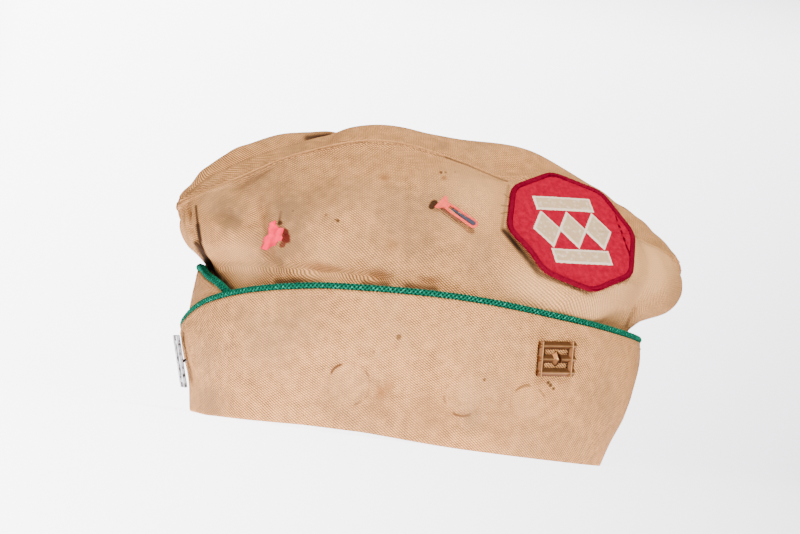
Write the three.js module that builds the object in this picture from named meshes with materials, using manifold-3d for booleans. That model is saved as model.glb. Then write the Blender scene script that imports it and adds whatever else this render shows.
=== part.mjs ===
// A cotton twill garrison cap: two crown sides, a leaf-shaped top between them, and a two-part
// turned-up curtain edged with corded piping. It carries a sewn patch, a brass pin, a pair of
// rank bars, a small clasp and a scrap of lining that shows through a hole.
// Millimetres, +Z up, the front of the cap towards -X, the wearer's left towards -Y.
import * as THREE from 'three';
import { mergeVertices } from 'three/addons/utils/BufferGeometryUtils.js';
import Module from 'manifold-3d';

// Driving dimensions
const headLength = 192;          // inside of the rim, front to rear
const headWidth = 155;           // inside of the rim, side to side
const crownWall = 1.5;           // crown cloth with its turned seams
const curtainWall = 2;           // the curtain is two layers of cloth
const gap = 0.3;                 // between neighbouring pieces
const crownHeight = 148;         // rim to the highest ridge of the top
const frontPeakHeight = 98;
const rearPeakHeight = 102;
const frontOverhang = 25.5;      // front peak ahead of the crown's rim
const rearOverhang = 34.5;
const gussetWidth = 78;          // widest place of the top, seam to seam
const curtainHeight = 66;        // cloth of the curtain at the side, below its piping
const curtainFlare = 11;         // how far the curtain leans out, front and rear
const pipingWidth = 2.8;
const overlapAngle = 0.9;        // how far each curtain end passes the front, in radians
const foldDepth = 7;             // pinched folds at the front and rear seams of the crown
const foldWidth = 7.5;
const dentDepth = 4.5;           // deepest soft dent in the crown sides
const patchAcross = 63;          // octagon, flat to flat
const patchThickness = 1.6;
const patchSeat = 1;             // its back above the cloth, measured square to the patch
const pinWidth = 22;
const pinHeight = 15.6;
const pinThickness = 1.2;
const pinBevel = 0.3;
const pinSeat = 0.5;             // its back above the cloth at its middle
const barLength = 25.4;
const barWidth = 5.6;
const barSpacing = 12.4;         // centre to centre of the two bars
const barThickness = 1.5;
const barBevel = 0.35;
const barsStandOff = 1.8;        // back of the bars above the cloth
const postRadius = 0.8;
const crossOuter = 10.2;         // outer edge of each cross piece from the middle of the bars
const crossWidth = 2.2;
const claspLength = 22;
const claspWidth = 4.4;
const claspThickness = 1.4;
const claspBevel = 0.25;
const claspSeat = 0.6;
const scrapWidth = 7;
const scrapHeight = 11.5;
const scrapThickness = 1;

// Sections of the crown side from the rim up to the top seam, one row each.
// side, front, rear: height at mid side and at the two ends, where 0 to 1 is a share of
// curtainHeight and 1 to 2 leads on to the crown's height or the peak's; ahead, behind: reach
// past the rim, share of the overhangs; half: half width, share of the rim's; round: 1 is an
// ellipse and more is pointed; fuller: what the rear end has less of it; foldFront, foldRear: share
// of foldDepth at the two end seams.
const crownSections = [
  { side: 0.000, front: 0.000, rear: 0.000, ahead: 0.00, behind: 0.00, half: 1.00, round: 0.92, fuller: 0.00, foldFront: 0.0, foldRear: 0.0 },
  { side: 0.516, front: 0.520, rear: 0.510, ahead: 0.10, behind: 0.10, half: 1.01, round: 0.92, fuller: 0.00, foldFront: 0.0, foldRear: 0.0 },
  { side: 0.942, front: 0.906, rear: 0.912, ahead: 0.13, behind: 0.17, half: 1.02, round: 0.95, fuller: 0.00, foldFront: 0.2, foldRear: 0.2 },
  { side: 1.116, front: 1.173, rear: 1.094, ahead: 0.29, behind: 0.38, half: 1.02, round: 1.00, fuller: 0.05, foldFront: 0.8, foldRear: 0.9 },
  { side: 1.296, front: 1.388, rear: 1.320, ahead: 0.72, behind: 0.86, half: 0.98, round: 1.06, fuller: 0.15, foldFront: 1.0, foldRear: 0.7 },
  { side: 1.513, front: 1.602, rear: 1.547, ahead: 0.93, behind: 1.05, half: 0.89, round: 1.20, fuller: 0.25, foldFront: 1.0, foldRear: 0.3 },
  { side: 1.711, front: 1.816, rear: 1.773, ahead: 1.01, behind: 1.03, half: 0.74, round: 1.42, fuller: 0.35, foldFront: 0.5, foldRear: 0.1 },
];

// The top, at equal turns of angle from the front peak to the rear peak. half: half width,
// share of gussetWidth; the rest are heights, shares of crownHeight: the left and right seams,
// the ridge over each, and the hollow between them.
const topSections = [
  { half: 0.000, left: 0.662, leftRidge: 0.662, hollow: 0.662, rightRidge: 0.662, right: 0.662 },
  { half: 0.090, left: 0.694, leftRidge: 0.714, hollow: 0.724, rightRidge: 0.750, right: 0.706 },
  { half: 0.256, left: 0.762, leftRidge: 0.806, hollow: 0.800, rightRidge: 0.864, right: 0.790 },
  { half: 0.410, left: 0.868, leftRidge: 0.910, hollow: 0.880, rightRidge: 0.954, right: 0.880 },
  { half: 0.487, left: 0.940, leftRidge: 0.996, hollow: 0.916, rightRidge: 0.986, right: 0.930 },
  { half: 0.500, left: 0.912, leftRidge: 1.000, hollow: 0.926, rightRidge: 0.980, right: 0.917 },
  { half: 0.488, left: 0.842, leftRidge: 1.000, hollow: 0.926, rightRidge: 0.966, right: 0.865 },
  { half: 0.432, left: 0.782, leftRidge: 0.917, hollow: 0.878, rightRidge: 0.905, right: 0.797 },
  { half: 0.305, left: 0.745, leftRidge: 0.828, hollow: 0.811, rightRidge: 0.824, right: 0.743 },
  { half: 0.130, left: 0.723, leftRidge: 0.746, hollow: 0.740, rightRidge: 0.743, right: 0.716 },
  { half: 0.000, left: 0.690, leftRidge: 0.690, hollow: 0.690, rightRidge: 0.690, right: 0.690 },
];
const topColumns = ['left', 'leftRidge', 'hollow', 'rightRidge', 'right'];

// Soft dents of each crown side. along: share of the crown's length from the front peak;
// up: share of crownHeight; long, high: half sizes in the same shares; turn: slant in radians;
// depth: share of dentDepth, negative where the cloth swells.
const leftDents = [
  { along: 0.16, up: 0.63, long: 0.030, high: 0.12, turn: 0.25, depth: 0.55 },
  { along: 0.27, up: 0.52, long: 0.070, high: 0.04, turn: -0.6, depth: 0.45 },
  { along: 0.30, up: 0.70, long: 0.060, high: 0.08, turn: 0.0, depth: -0.35 },
  { along: 0.52, up: 0.56, long: 0.110, high: 0.05, turn: -0.2, depth: 0.35 },
  { along: 0.86, up: 0.56, long: 0.050, high: 0.05, turn: 0.8, depth: 0.60 },
  { along: 0.93, up: 0.62, long: 0.035, high: 0.08, turn: 0.3, depth: -0.40 },
];
const rightDents = [
  { along: 0.20, up: 0.62, long: 0.050, high: 0.11, turn: -0.3, depth: 0.50 },
  { along: 0.45, up: 0.66, long: 0.120, high: 0.05, turn: 0.2, depth: 0.60 },
  { along: 0.66, up: 0.58, long: 0.070, high: 0.07, turn: -0.5, depth: 0.40 },
  { along: 0.88, up: 0.60, long: 0.050, high: 0.06, turn: -0.7, depth: 0.50 },
];

// Lean of the curtain. up: height, share of curtainHeight; front, rear, side: share of
// curtainFlare by which it stands out there.
const curtainSections = [
  { up: 0.00, front: 0.00, rear: 0.00, side: 0.00 },
  { up: 0.20, front: 0.20, rear: 0.28, side: 0.12 },
  { up: 0.40, front: 0.60, rear: 0.72, side: 0.24 },
  { up: 0.60, front: 0.88, rear: 0.98, side: 0.36 },
  { up: 0.80, front: 0.86, rear: 1.10, side: 0.44 },
  { up: 1.00, front: 0.76, rear: 0.92, side: 0.48 },
];

// Upper edge of each curtain. turn: angle from the front, share of half a turn, negative past
// the front; up: height, share of curtainHeight.
const leftEdge = [
  { turn: -0.29, up: 0.24 }, { turn: -0.18, up: 0.40 }, { turn: -0.08, up: 0.54 }, { turn: 0.02, up: 0.66 },
  { turn: 0.10, up: 0.79 }, { turn: 0.20, up: 0.90 }, { turn: 0.32, up: 0.96 }, { turn: 0.50, up: 1.00 },
  { turn: 0.66, up: 0.98 }, { turn: 0.84, up: 0.94 }, { turn: 1.00, up: 0.93 },
];
const rightEdge = [
  { turn: -0.29, up: 0.56 }, { turn: -0.22, up: 0.72 }, { turn: -0.17, up: 0.83 }, { turn: -0.10, up: 0.93 },
  { turn: -0.02, up: 0.99 }, { turn: 0.08, up: 1.02 }, { turn: 0.20, up: 1.02 }, { turn: 0.50, up: 1.00 },
  { turn: 0.66, up: 0.98 }, { turn: 0.84, up: 0.94 }, { turn: 1.00, up: 0.93 },
];

// Places on the left side. along: share of the crown's length from the front peak; up: share of
// crownHeight, or of curtainHeight for the brass pin; turn: slant in radians.
const patchPlace = { along: 0.708, up: 0.765, turn: 0.1 };
const claspPlace = { along: 0.477, up: 0.73, turn: -0.5 };
const scrapPlace = { along: 0.168, up: 0.59, turn: -0.2 };
const pinPlace = { along: 0.692, up: 0.729, turn: 0.02 };
const barsHeight = 0.37;         // centre of the rank bars, share of curtainHeight

// Worked out from the above
const crownFront = -headLength / 2 - crownWall;
const crownRear = headLength / 2 + crownWall;
const crownHalf = headWidth / 2 + crownWall;
const frontPeak = crownFront - frontOverhang;
const rearPeak = crownRear + rearOverhang;
const crownLength = rearPeak - frontPeak;
const overlapLift = curtainWall + (pipingWidth - curtainWall) / 2 + gap;

const cloth = { color: 0xc2a681, roughness: 0.9, metalness: 0 };
const green = { color: 0x0f7a5a, roughness: 0.7, metalness: 0 };
const red = { color: 0xb81f38, roughness: 0.75, metalness: 0 };
const brass = { color: 0x8a5a2c, roughness: 0.45, metalness: 0.9 };
const silver = { color: 0xb9bcc0, roughness: 0.3, metalness: 1 };
const copper = { color: 0xb07a6a, roughness: 0.45, metalness: 0.8 };
const pink = { color: 0xd9506e, roughness: 0.85, metalness: 0 };

// Value of one named column at a place between rows, on a smooth curve through them
function between(rows, column, place) {
  const last = rows.length - 1;
  const row = Math.min(Math.max(Math.floor(place), 0), last - 1);
  const part = place - row;
  const from = rows[row][column];
  const to = rows[row + 1][column];
  const before = row > 0 ? rows[row - 1][column] : 2 * from - to;
  const after = row + 2 <= last ? rows[row + 2][column] : 2 * to - from;
  const bend = 2 * before - 5 * from + 4 * to - after;
  const twist = 3 * from - before - 3 * to + after;
  return from + 0.5 * part * (to - before + part * (bend + part * twist));
}

// Place between rows where an ever-rising column has a value
function placeOf(rows, column, value) {
  let row = 0;
  while (row < rows.length - 2 && rows[row + 1][column] < value) row += 1;
  return row + (value - rows[row][column]) / (rows[row + 1][column] - rows[row][column]);
}

// Point on an oval from front to rear: angle 0 is the front end, side is -1 left or +1 right
function ovalPoint(front, rear, half, round, angle, side, height) {
  const middle = (front + rear) / 2;
  const x = middle - (rear - front) / 2 * Math.cos(angle);
  return new THREE.Vector3(x, side * (gap / 2 + half * Math.max(Math.sin(angle), 0) ** round), height);
}

function seamPoint(angle, side) {
  const place = angle / Math.PI * (topSections.length - 1);
  const height = crownHeight * between(topSections, side < 0 ? 'left' : 'right', place);
  const half = gussetWidth * between(topSections, 'half', place);
  return ovalPoint(frontPeak, rearPeak, 1, 1, angle, 0, height).setY(side * (gap / 2 + Math.max(half, 0)));
}

// Height of a section: shares up to 1 lie behind the curtain and the rest above it
function heightOf(share, top) {
  return share <= 1 ? share * curtainHeight : curtainHeight + (share - 1) * (top - curtainHeight);
}

// Point on one row of the crown side; the last row is the top seam
function sectionPoint(row, angle, side) {
  if (row === crownSections.length) return seamPoint(angle, side);
  const s = crownSections[row];
  const rearShare = (1 - Math.cos(angle)) / 2;
  const front = heightOf(s.front, frontPeakHeight);
  const ends = front + (heightOf(s.rear, rearPeakHeight) - front) * rearShare;
  const height = ends + (heightOf(s.side, crownHeight) - ends) * Math.max(Math.sin(angle), 0) ** 1.6;
  const ahead = crownFront - frontOverhang * s.ahead;
  const behind = crownRear + rearOverhang * s.behind;
  const round = s.round - s.fuller * rearShare;
  const point = ovalPoint(ahead, behind, crownHalf * s.half, round, angle, side, height);
  const fold = Math.exp(-((point.y / foldWidth) ** 2)) * foldDepth;
  point.x += fold * (point.x < 0 ? s.foldFront : -s.foldRear);
  return point;
}

function dentAt(dents, point) {
  const along = (point.x - frontPeak) / crownLength;
  const up = point.z / crownHeight;
  let depth = 0;
  for (const dent of dents) {
    const cos = Math.cos(dent.turn);
    const sin = Math.sin(dent.turn);
    const long = ((along - dent.along) * cos + (up - dent.up) * sin) / dent.long;
    const high = ((up - dent.up) * cos - (along - dent.along) * sin) / dent.high;
    depth += dent.depth * dentDepth * Math.exp(-long * long - high * high);
  }
  return depth;
}

// Grid of points of a sheet: rows times columns of a surface function of two shares
function grid(rows, columns, surface) {
  const points = [];
  for (let i = 0; i <= rows; i += 1) {
    points.push([]);
    for (let j = 0; j <= columns; j += 1) points[i].push(surface(i / rows, j / columns));
  }
  return points;
}

// Unit normals of a grid, all turned away from a point inside the cap
function gridNormals(points, inside) {
  return points.map((row, i) => row.map((point, j) => {
    const up = points[Math.min(i + 1, points.length - 1)][j].clone().sub(points[Math.max(i - 1, 0)][j]);
    const along = row[Math.min(j + 1, row.length - 1)].clone().sub(row[Math.max(j - 1, 0)]);
    const normal = along.cross(up).normalize();
    return normal.dot(point.clone().sub(inside)) < 0 ? normal.negate() : normal;
  }));
}

// Closed sheet between an outer and an inner grid of points
function sheetGeometry(outer, inner) {
  const rows = outer.length;
  const columns = outer[0].length;
  const positions = [...outer.flat(), ...inner.flat()].flatMap((p) => [p.x, p.y, p.z]);
  const faces = [];
  const quad = (a, b, c, d) => faces.push(a, b, c, a, c, d);
  const at = (i, j) => i * columns + j;
  const under = rows * columns;
  for (let i = 0; i + 1 < rows; i += 1) {
    for (let j = 0; j + 1 < columns; j += 1) {
      quad(at(i, j), at(i, j + 1), at(i + 1, j + 1), at(i + 1, j));
      quad(under + at(i, j), under + at(i + 1, j), under + at(i + 1, j + 1), under + at(i, j + 1));
    }
  }
  const rim = [];
  for (let j = 0; j + 1 < columns; j += 1) rim.push(at(0, j));
  for (let i = 0; i + 1 < rows; i += 1) rim.push(at(i, columns - 1));
  for (let j = columns - 1; j > 0; j -= 1) rim.push(at(rows - 1, j));
  for (let i = rows - 1; i > 0; i -= 1) rim.push(at(i, 0));
  rim.forEach((from, k) => {
    const to = rim[(k + 1) % rim.length];
    quad(to, from, under + from, under + to);
  });
  return outward(positions, faces);
}

// Geometry of a closed mesh, its faces turned outward
function outward(positions, faces) {
  const corner = (k) => new THREE.Vector3().fromArray(positions, 3 * faces[k]);
  let volume = 0;
  for (let k = 0; k < faces.length; k += 3) volume += corner(k).dot(corner(k + 1).cross(corner(k + 2)));
  if (volume < 0) faces.reverse();
  const geometry = new THREE.BufferGeometry();
  geometry.setAttribute('position', new THREE.Float32BufferAttribute(positions, 3));
  geometry.setIndex(faces);
  geometry.computeVertexNormals();
  return geometry;
}

const cap = new THREE.Group();

function addPiece(name, geometry, material) {
  const mesh = new THREE.Mesh(geometry, new THREE.MeshStandardMaterial(material));
  mesh.name = name;
  cap.add(mesh);
  return mesh;
}

// Crown sides and top. At the seam both share one mitre, and the top stands clear of it.
const crownRows = 13;
const crownColumns = 36;
const topRows = 8;
const insideCrown = new THREE.Vector3(0, 0, crownHeight / 2);

function crownOuter(side, dents) {
  const plain = grid(crownRows, crownColumns, (up, along) => {
    const place = up * crownSections.length;
    const angle = Math.PI * along;
    const rows = [];
    for (let row = 0; row <= crownSections.length; row += 1) rows.push(sectionPoint(row, angle, side));
    return new THREE.Vector3(between(rows, 'x', place), between(rows, 'y', place), between(rows, 'z', place));
  });
  const normals = gridNormals(plain, insideCrown);
  return plain.map((row, i) => row.map((point, j) => {
    const fade = Math.min(1, 3 * i / crownRows, 6 * (1 - i / crownRows));
    const moved = point.clone().addScaledVector(normals[i][j], -fade * dentAt(dents, point));
    return moved.setY(side * Math.max(gap / 2, side * moved.y));
  }));
}

function topOuter() {
  const tipAngle = 0.13;
  return grid(topRows, crownColumns, (across, along) => {
    const angle = tipAngle + (Math.PI - 2 * tipAngle) * along;
    const place = angle / Math.PI * (topSections.length - 1);
    const heights = topColumns.map((column) => ({ height: crownHeight * between(topSections, column, place) }));
    const half = gussetWidth * between(topSections, 'half', place) + gap / 2;
    const height = between(heights, 'height', across * (topColumns.length - 1));
    return ovalPoint(frontPeak, rearPeak, 1, 1, angle, 0, height).setY(half * (2 * across - 1));
  });
}

// The same grid moved inward by the wall
function thicken(points, normals, wall) {
  return points.map((row, i) => row.map((point, j) => point.clone().addScaledVector(normals[i][j], -wall)));
}

const mitre = gap + crownWall * 0.35;

function crownSide(name, side, dents) {
  const outer = crownOuter(side, dents);
  const normals = gridNormals(outer, insideCrown);
  const inner = thicken(outer, normals, crownWall).map((row, i) => row.map((point, j) => {
    const height = i === 0 ? 0 : point.z - (i === crownRows ? mitre : 0);
    return new THREE.Vector3(point.x, side * Math.max(gap / 2, side * point.y), height);
  }));
  return addPiece(name, sheetGeometry(outer, inner), cloth);
}

const crownLeft = crownSide('crown_left', -1, leftDents);
const crownRight = crownSide('crown_right', 1, rightDents);

function crownTop() {
  const outer = topOuter();
  const edgeIn = (points, drop) => points.map((row, i) => row.map((point) => {
    const edge = i === 0 ? 1 : i === topRows ? -1 : 0;
    const narrowed = point.y + edge * Math.min(drop, Math.abs(point.y) * 0.8);
    return new THREE.Vector3(point.x, narrowed, point.z);
  }));
  const inner = thicken(outer, gridNormals(outer, insideCrown), crownWall);
  return addPiece('crown_top', sheetGeometry(edgeIn(outer, gap * 1.6), edgeIn(inner, crownWall * 1.3)), cloth);
}

const crownTopMesh = crownTop();

// Curtain. Turn is the signed angle from the front, positive towards the curtain's own side;
// lift moves the surface outward, and the left curtain rises over the right one at the front.
const curtainColumns = 38;
const curtainRows = 6;

function curtainPoint(turn, height, side, lift) {
  const place = placeOf(curtainSections, 'up', height / curtainHeight);
  const lean = (column) => lift + curtainFlare * between(curtainSections, column, place);
  const front = crownFront - gap - lean('front');
  const rear = crownRear + gap + lean('rear');
  const own = turn < 0 ? -side : side;
  const half = crownHalf + gap + lean('side');
  const point = ovalPoint(front, rear, half, crownSections[0].round, Math.abs(turn), own, height);
  if (turn < 0 || turn > Math.PI / 2) return point;
  return point.setY(point.y - side * (gap / 2) * Math.cos(turn));
}

function overlapRise(turn, side) {
  if (side > 0) return 0;
  const past = (turn - overlapAngle) / 0.7;
  return overlapLift * (past < 0 ? 1 : past > 1 ? 0 : 0.5 + 0.5 * Math.cos(Math.PI * past));
}

function edgeHeight(edge, turn) {
  return curtainHeight * between(edge, 'up', placeOf(edge, 'turn', turn / Math.PI));
}

function curtain(name, side, edge) {
  const layer = (lift) => grid(curtainRows, curtainColumns, (up, along) => {
    const turn = -overlapAngle + (Math.PI + overlapAngle) * along;
    return curtainPoint(turn, up * edgeHeight(edge, turn), side, lift + overlapRise(turn, side));
  });
  addPiece(name, sheetGeometry(layer(curtainWall), layer(0)), cloth);
}

curtain('curtain_left', -1, leftEdge);
curtain('curtain_right', 1, rightEdge);

// Corded piping along the upper edge of each curtain
function roundShape(radius, sides) {
  const shape = new THREE.Shape();
  for (let k = 0; k < sides; k += 1) {
    const angle = 2 * Math.PI * (k + 0.5) / sides;
    const at = [radius * Math.cos(angle), radius * Math.sin(angle)];
    if (k === 0) shape.moveTo(...at);
    else shape.lineTo(...at);
  }
  shape.closePath();
  return shape;
}

function piping(name, side, edge) {
  const stops = 40;
  const route = [];
  for (let k = 0; k <= stops; k += 1) {
    const turn = -overlapAngle + (Math.PI + overlapAngle - gap / crownHalf) * k / stops;
    const lift = curtainWall / 2 + overlapRise(turn, side);
    route.push(curtainPoint(turn, edgeHeight(edge, turn), side, lift).add(new THREE.Vector3(0, 0, gap + pipingWidth / 2)));
  }
  const path = new THREE.CatmullRomCurve3(route);
  const shape = roundShape(pipingWidth / 2, 6);
  addPiece(name, new THREE.ExtrudeGeometry(shape, { steps: 44, extrudePath: path, bevelEnabled: false }), green);
}

piping('piping_left', -1, leftEdge);
piping('piping_right', 1, rightEdge);

// Where a thin probe first meets the outside of some pieces. The probe is wider than a seam's
// gap, so that it can't slip through one.
function hit(meshes, from, direction) {
  const across = new THREE.Vector3(direction.z, 0, -direction.x).normalize().multiplyScalar(gap);
  const over = direction.clone().cross(across).normalize().multiplyScalar(gap);
  if (across.lengthSq() === 0) over.set(0, 0, gap);
  const starts = [[0, 0], [1, 0], [-1, 0], [0, 1], [0, -1]].map(([a, b]) => (
    from.clone().addScaledVector(across, a).addScaledVector(over, b)));
  const found = starts.flatMap((start) => new THREE.Raycaster(start, direction).intersectObjects(meshes));
  const nearest = Math.min(...found.map((touch) => touch.distance));
  return from.clone().addScaledVector(direction, nearest);
}

// A level frame that touches the left side of the cap: its middle and three unit vectors
function sideFrame(meshes, place, height, reach) {
  const x = frontPeak + crownLength * place.along;
  const z = height * place.up;
  const toSide = new THREE.Vector3(0, 1, 0);
  const at = (dx, dz) => hit(meshes, new THREE.Vector3(x + dx, -2 * crownHalf, z + dz), toSide);
  const along = at(reach, 0).sub(at(-reach, 0)).normalize();
  const up = at(0, reach).sub(at(0, -reach)).normalize();
  const out = along.clone().cross(up).normalize();
  const right = along.clone().applyAxisAngle(out, place.turn);
  return { middle: at(0, 0), right, up: out.clone().cross(right), out };
}

// Sheet of a given outline laid on the cap. reachAt(angle) is the outline's radius.
function laidSheet(meshes, frame, reachAt, thickness, seat, spokes, rings) {
  const toCap = frame.out.clone().negate();
  const point = (share, spoke, lift) => {
    const angle = 2 * Math.PI * spoke / spokes;
    const reach = share * reachAt(angle);
    const from = frame.middle.clone().addScaledVector(frame.out, crownHalf)
      .addScaledVector(frame.right, reach * Math.cos(angle)).addScaledVector(frame.up, reach * Math.sin(angle));
    return hit(meshes, from, toCap).addScaledVector(frame.out, lift);
  };
  const points = [];
  const faces = [];
  const layer = rings * spokes + 1;
  for (const lift of [seat + thickness, seat]) {
    points.push(point(0, 0, lift));
    for (let ring = 1; ring <= rings; ring += 1) {
      for (let spoke = 0; spoke < spokes; spoke += 1) points.push(point(ring / rings, spoke, lift));
    }
  }
  const at = (ring, spoke) => (ring === 0 ? 0 : 1 + (ring - 1) * spokes + spoke % spokes);
  for (let spoke = 0; spoke < spokes; spoke += 1) {
    faces.push(0, at(1, spoke), at(1, spoke + 1), layer, layer + at(1, spoke + 1), layer + at(1, spoke));
    for (let ring = 1; ring < rings; ring += 1) {
      const [a, b] = [at(ring, spoke), at(ring + 1, spoke)];
      const [c, d] = [at(ring + 1, spoke + 1), at(ring, spoke + 1)];
      faces.push(a, b, c, a, c, d, layer + a, layer + c, layer + b, layer + a, layer + d, layer + c);
    }
    const [from, to] = [at(rings, spoke), at(rings, spoke + 1)];
    faces.push(from, layer + from, layer + to, from, layer + to, to);
  }
  return outward(points.flatMap((p) => [p.x, p.y, p.z]), faces);
}

// Eight-sided patch, sewn across the left seam
function octagonReach(angle) {
  const corner = Math.PI / 4;
  const fromFlat = ((angle % corner) + corner) % corner - corner / 2;
  return patchAcross / 2 / Math.cos(fromFlat);
}

const crownSkin = [crownLeft, crownTopMesh];
crownSkin.forEach((mesh) => mesh.updateMatrixWorld());
const patchFrame = sideFrame(crownSkin, patchPlace, crownHeight, patchAcross * 0.3);
addPiece('patch', laidSheet(crownSkin, patchFrame, octagonReach, patchThickness, patchSeat, 32, 8), red);

// Torn scrap of lining that pokes through a hole in the left side
function scrapReach(angle) {
  const ragged = 1 + 0.14 * Math.sin(3 * angle + 0.6) + 0.08 * Math.sin(7 * angle);
  return ragged / 2 * Math.hypot(scrapWidth * Math.cos(angle), scrapHeight * Math.sin(angle));
}

const scrapFrame = sideFrame([crownLeft], scrapPlace, crownHeight, scrapWidth);
addPiece('lining_scrap', laidSheet([crownLeft], scrapFrame, scrapReach, scrapThickness, gap * 1.5, 14, 2), pink);

// Flat bevelled plate of an outline, its back at height 0
function plate(shape, thickness, bevel) {
  const bevels = { bevelThickness: bevel, bevelSize: bevel, bevelOffset: -bevel, bevelSegments: 1 };
  const depth = thickness - 2 * bevel;
  return new THREE.ExtrudeGeometry(shape, { depth, curveSegments: 6, ...bevels }).translate(0, 0, bevel);
}

// Piece set on a frame on the cap, its own height 0 at a seat above the cloth
function seatPiece(name, geometry, frame, seat, material) {
  const base = frame.middle.clone().addScaledVector(frame.out, seat);
  geometry.applyMatrix4(new THREE.Matrix4().makeBasis(frame.right, frame.up, frame.out).setPosition(base));
  return addPiece(name, geometry, material);
}

function rectanglePath(path, x, y, width, height) {
  path.moveTo(x - width / 2, y - height / 2);
  path.lineTo(x + width / 2, y - height / 2);
  path.lineTo(x + width / 2, y + height / 2);
  path.lineTo(x - width / 2, y + height / 2);
  path.closePath();
  return path;
}

// Openwork brass pin on the left curtain: a frame with a lozenge held in its middle
function pinShape() {
  const rail = pinHeight * 0.17;
  const shape = rectanglePath(new THREE.Shape(), 0, 0, pinWidth, pinHeight);
  const reach = { x: pinWidth / 2 - rail, y: pinHeight / 2 - rail };
  const tip = rail * 0.3;
  const corner = 0.94;
  for (const [sx, sy] of [[1, 1], [-1, 1], [-1, -1], [1, -1]]) {
    const hole = new THREE.Path();
    hole.moveTo(sx * reach.x, sy * tip);
    hole.lineTo(sx * reach.x * corner, sy * reach.y * corner);
    hole.lineTo(sx * tip, sy * reach.y);
    hole.closePath();
    shape.holes.push(hole);
  }
  return shape;
}

const curtainLeft = cap.getObjectByName('curtain_left');
curtainLeft.updateMatrixWorld();
const pinFrame = sideFrame([curtainLeft], pinPlace, curtainHeight, pinWidth / 2);
seatPiece('brass_pin', plate(pinShape(), pinThickness, pinBevel), pinFrame, pinSeat, brass);

// Rank bars on the front of the curtain: two bars joined by two thin cross pieces, standing off
// the cloth on a short post behind each bar
function barsShape() {
  const half = (barSpacing + barWidth) / 2;
  const inner = (barSpacing - barWidth) / 2;
  const end = barLength / 2;
  const outline = new THREE.Shape();
  const corners = [[-half, -end], [-inner, -end], [-inner, -crossOuter], [inner, -crossOuter], [inner, -end],
    [half, -end], [half, end], [inner, end], [inner, crossOuter], [-inner, crossOuter], [-inner, end], [-half, end]];
  corners.forEach(([x, y], k) => (k === 0 ? outline.moveTo(x, y) : outline.lineTo(x, y)));
  outline.closePath();
  outline.holes.push(rectanglePath(new THREE.Path(), 0, 0, 2 * inner, 2 * (crossOuter - crossWidth)));
  return outline;
}

function frontFrame() {
  const height = curtainHeight * barsHeight;
  const lift = curtainWall + overlapLift;
  const at = (dz) => curtainPoint(0, height + dz, -1, lift);
  const up = at(barLength / 2).sub(at(-barLength / 2)).normalize();
  const right = new THREE.Vector3(0, -1, 0);
  return { middle: at(0), right, up, out: right.clone().cross(up).normalize() };
}

const wasm = await Module();
wasm.setup();

function solid(geometry) {
  const bare = geometry.clone();
  bare.deleteAttribute('normal');
  bare.deleteAttribute('uv');
  const merged = mergeVertices(bare, 1e-4);
  const vertProperties = new Float32Array(merged.attributes.position.array);
  return new wasm.Manifold(new wasm.Mesh({ numProp: 3, vertProperties, triVerts: new Uint32Array(merged.index.array) }));
}

function joined(geometries) {
  const whole = geometries.map(solid).reduce((sum, next) => sum.add(next)).getMesh();
  const geometry = new THREE.BufferGeometry();
  geometry.setAttribute('position', new THREE.BufferAttribute(whole.vertProperties, 3));
  geometry.setIndex(new THREE.BufferAttribute(whole.triVerts, 1));
  geometry.computeVertexNormals();
  return geometry;
}

const postLength = barsStandOff + barThickness / 2 - gap * 1.5;
const posts = [-1, 1].map((side) => new THREE.CylinderGeometry(postRadius, postRadius, postLength, 8)
  .rotateX(Math.PI / 2).translate(side * barSpacing / 2, 0, (barThickness - postLength) / 2 - barThickness * 0.2));
const bars = joined([plate(barsShape(), barThickness, barBevel), ...posts]);
seatPiece('rank_bars', bars, frontFrame(), barsStandOff, silver);

// Small clasp caught in the left side: a flared head, a slotted shank and a steel tongue
function claspShape() {
  const shank = claspWidth * 0.36;
  const half = claspLength / 2;
  const shape = new THREE.Shape();
  shape.moveTo(-half, -claspWidth / 2);
  shape.lineTo(-half * 0.68, -shank);
  shape.lineTo(half - shank, -shank);
  shape.absarc(half - shank, 0, shank, -Math.PI / 2, Math.PI / 2);
  shape.lineTo(-half * 0.68, shank);
  shape.lineTo(-half, claspWidth / 2);
  shape.closePath();
  shape.holes.push(rectanglePath(new THREE.Path(), half * 0.1, 0, claspLength * 0.62, shank * 0.9));
  return shape;
}

const claspFrame = sideFrame([crownLeft], claspPlace, crownHeight, claspLength / 2);
seatPiece('pin_clasp', plate(claspShape(), claspThickness, claspBevel), claspFrame, claspSeat, copper);

// The origin lies on the ground under the middle of the whole cap
const whole = new THREE.Box3().setFromObject(cap);
const middle = whole.getCenter(new THREE.Vector3());
cap.position.set(-middle.x, -middle.y, 0);

export default cap;
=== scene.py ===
# A cotton twill garrison cap, front to the left, standing on its rim on a pale floor.
# Lengths are millimetres from the middle of the rim, front towards -X, the wearer's left towards
# -Y, and go to metres in the row frame as each mesh is made.
import math

import bpy
import numpy as np
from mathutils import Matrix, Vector
from mathutils.bvhtree import BVHTree


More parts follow.
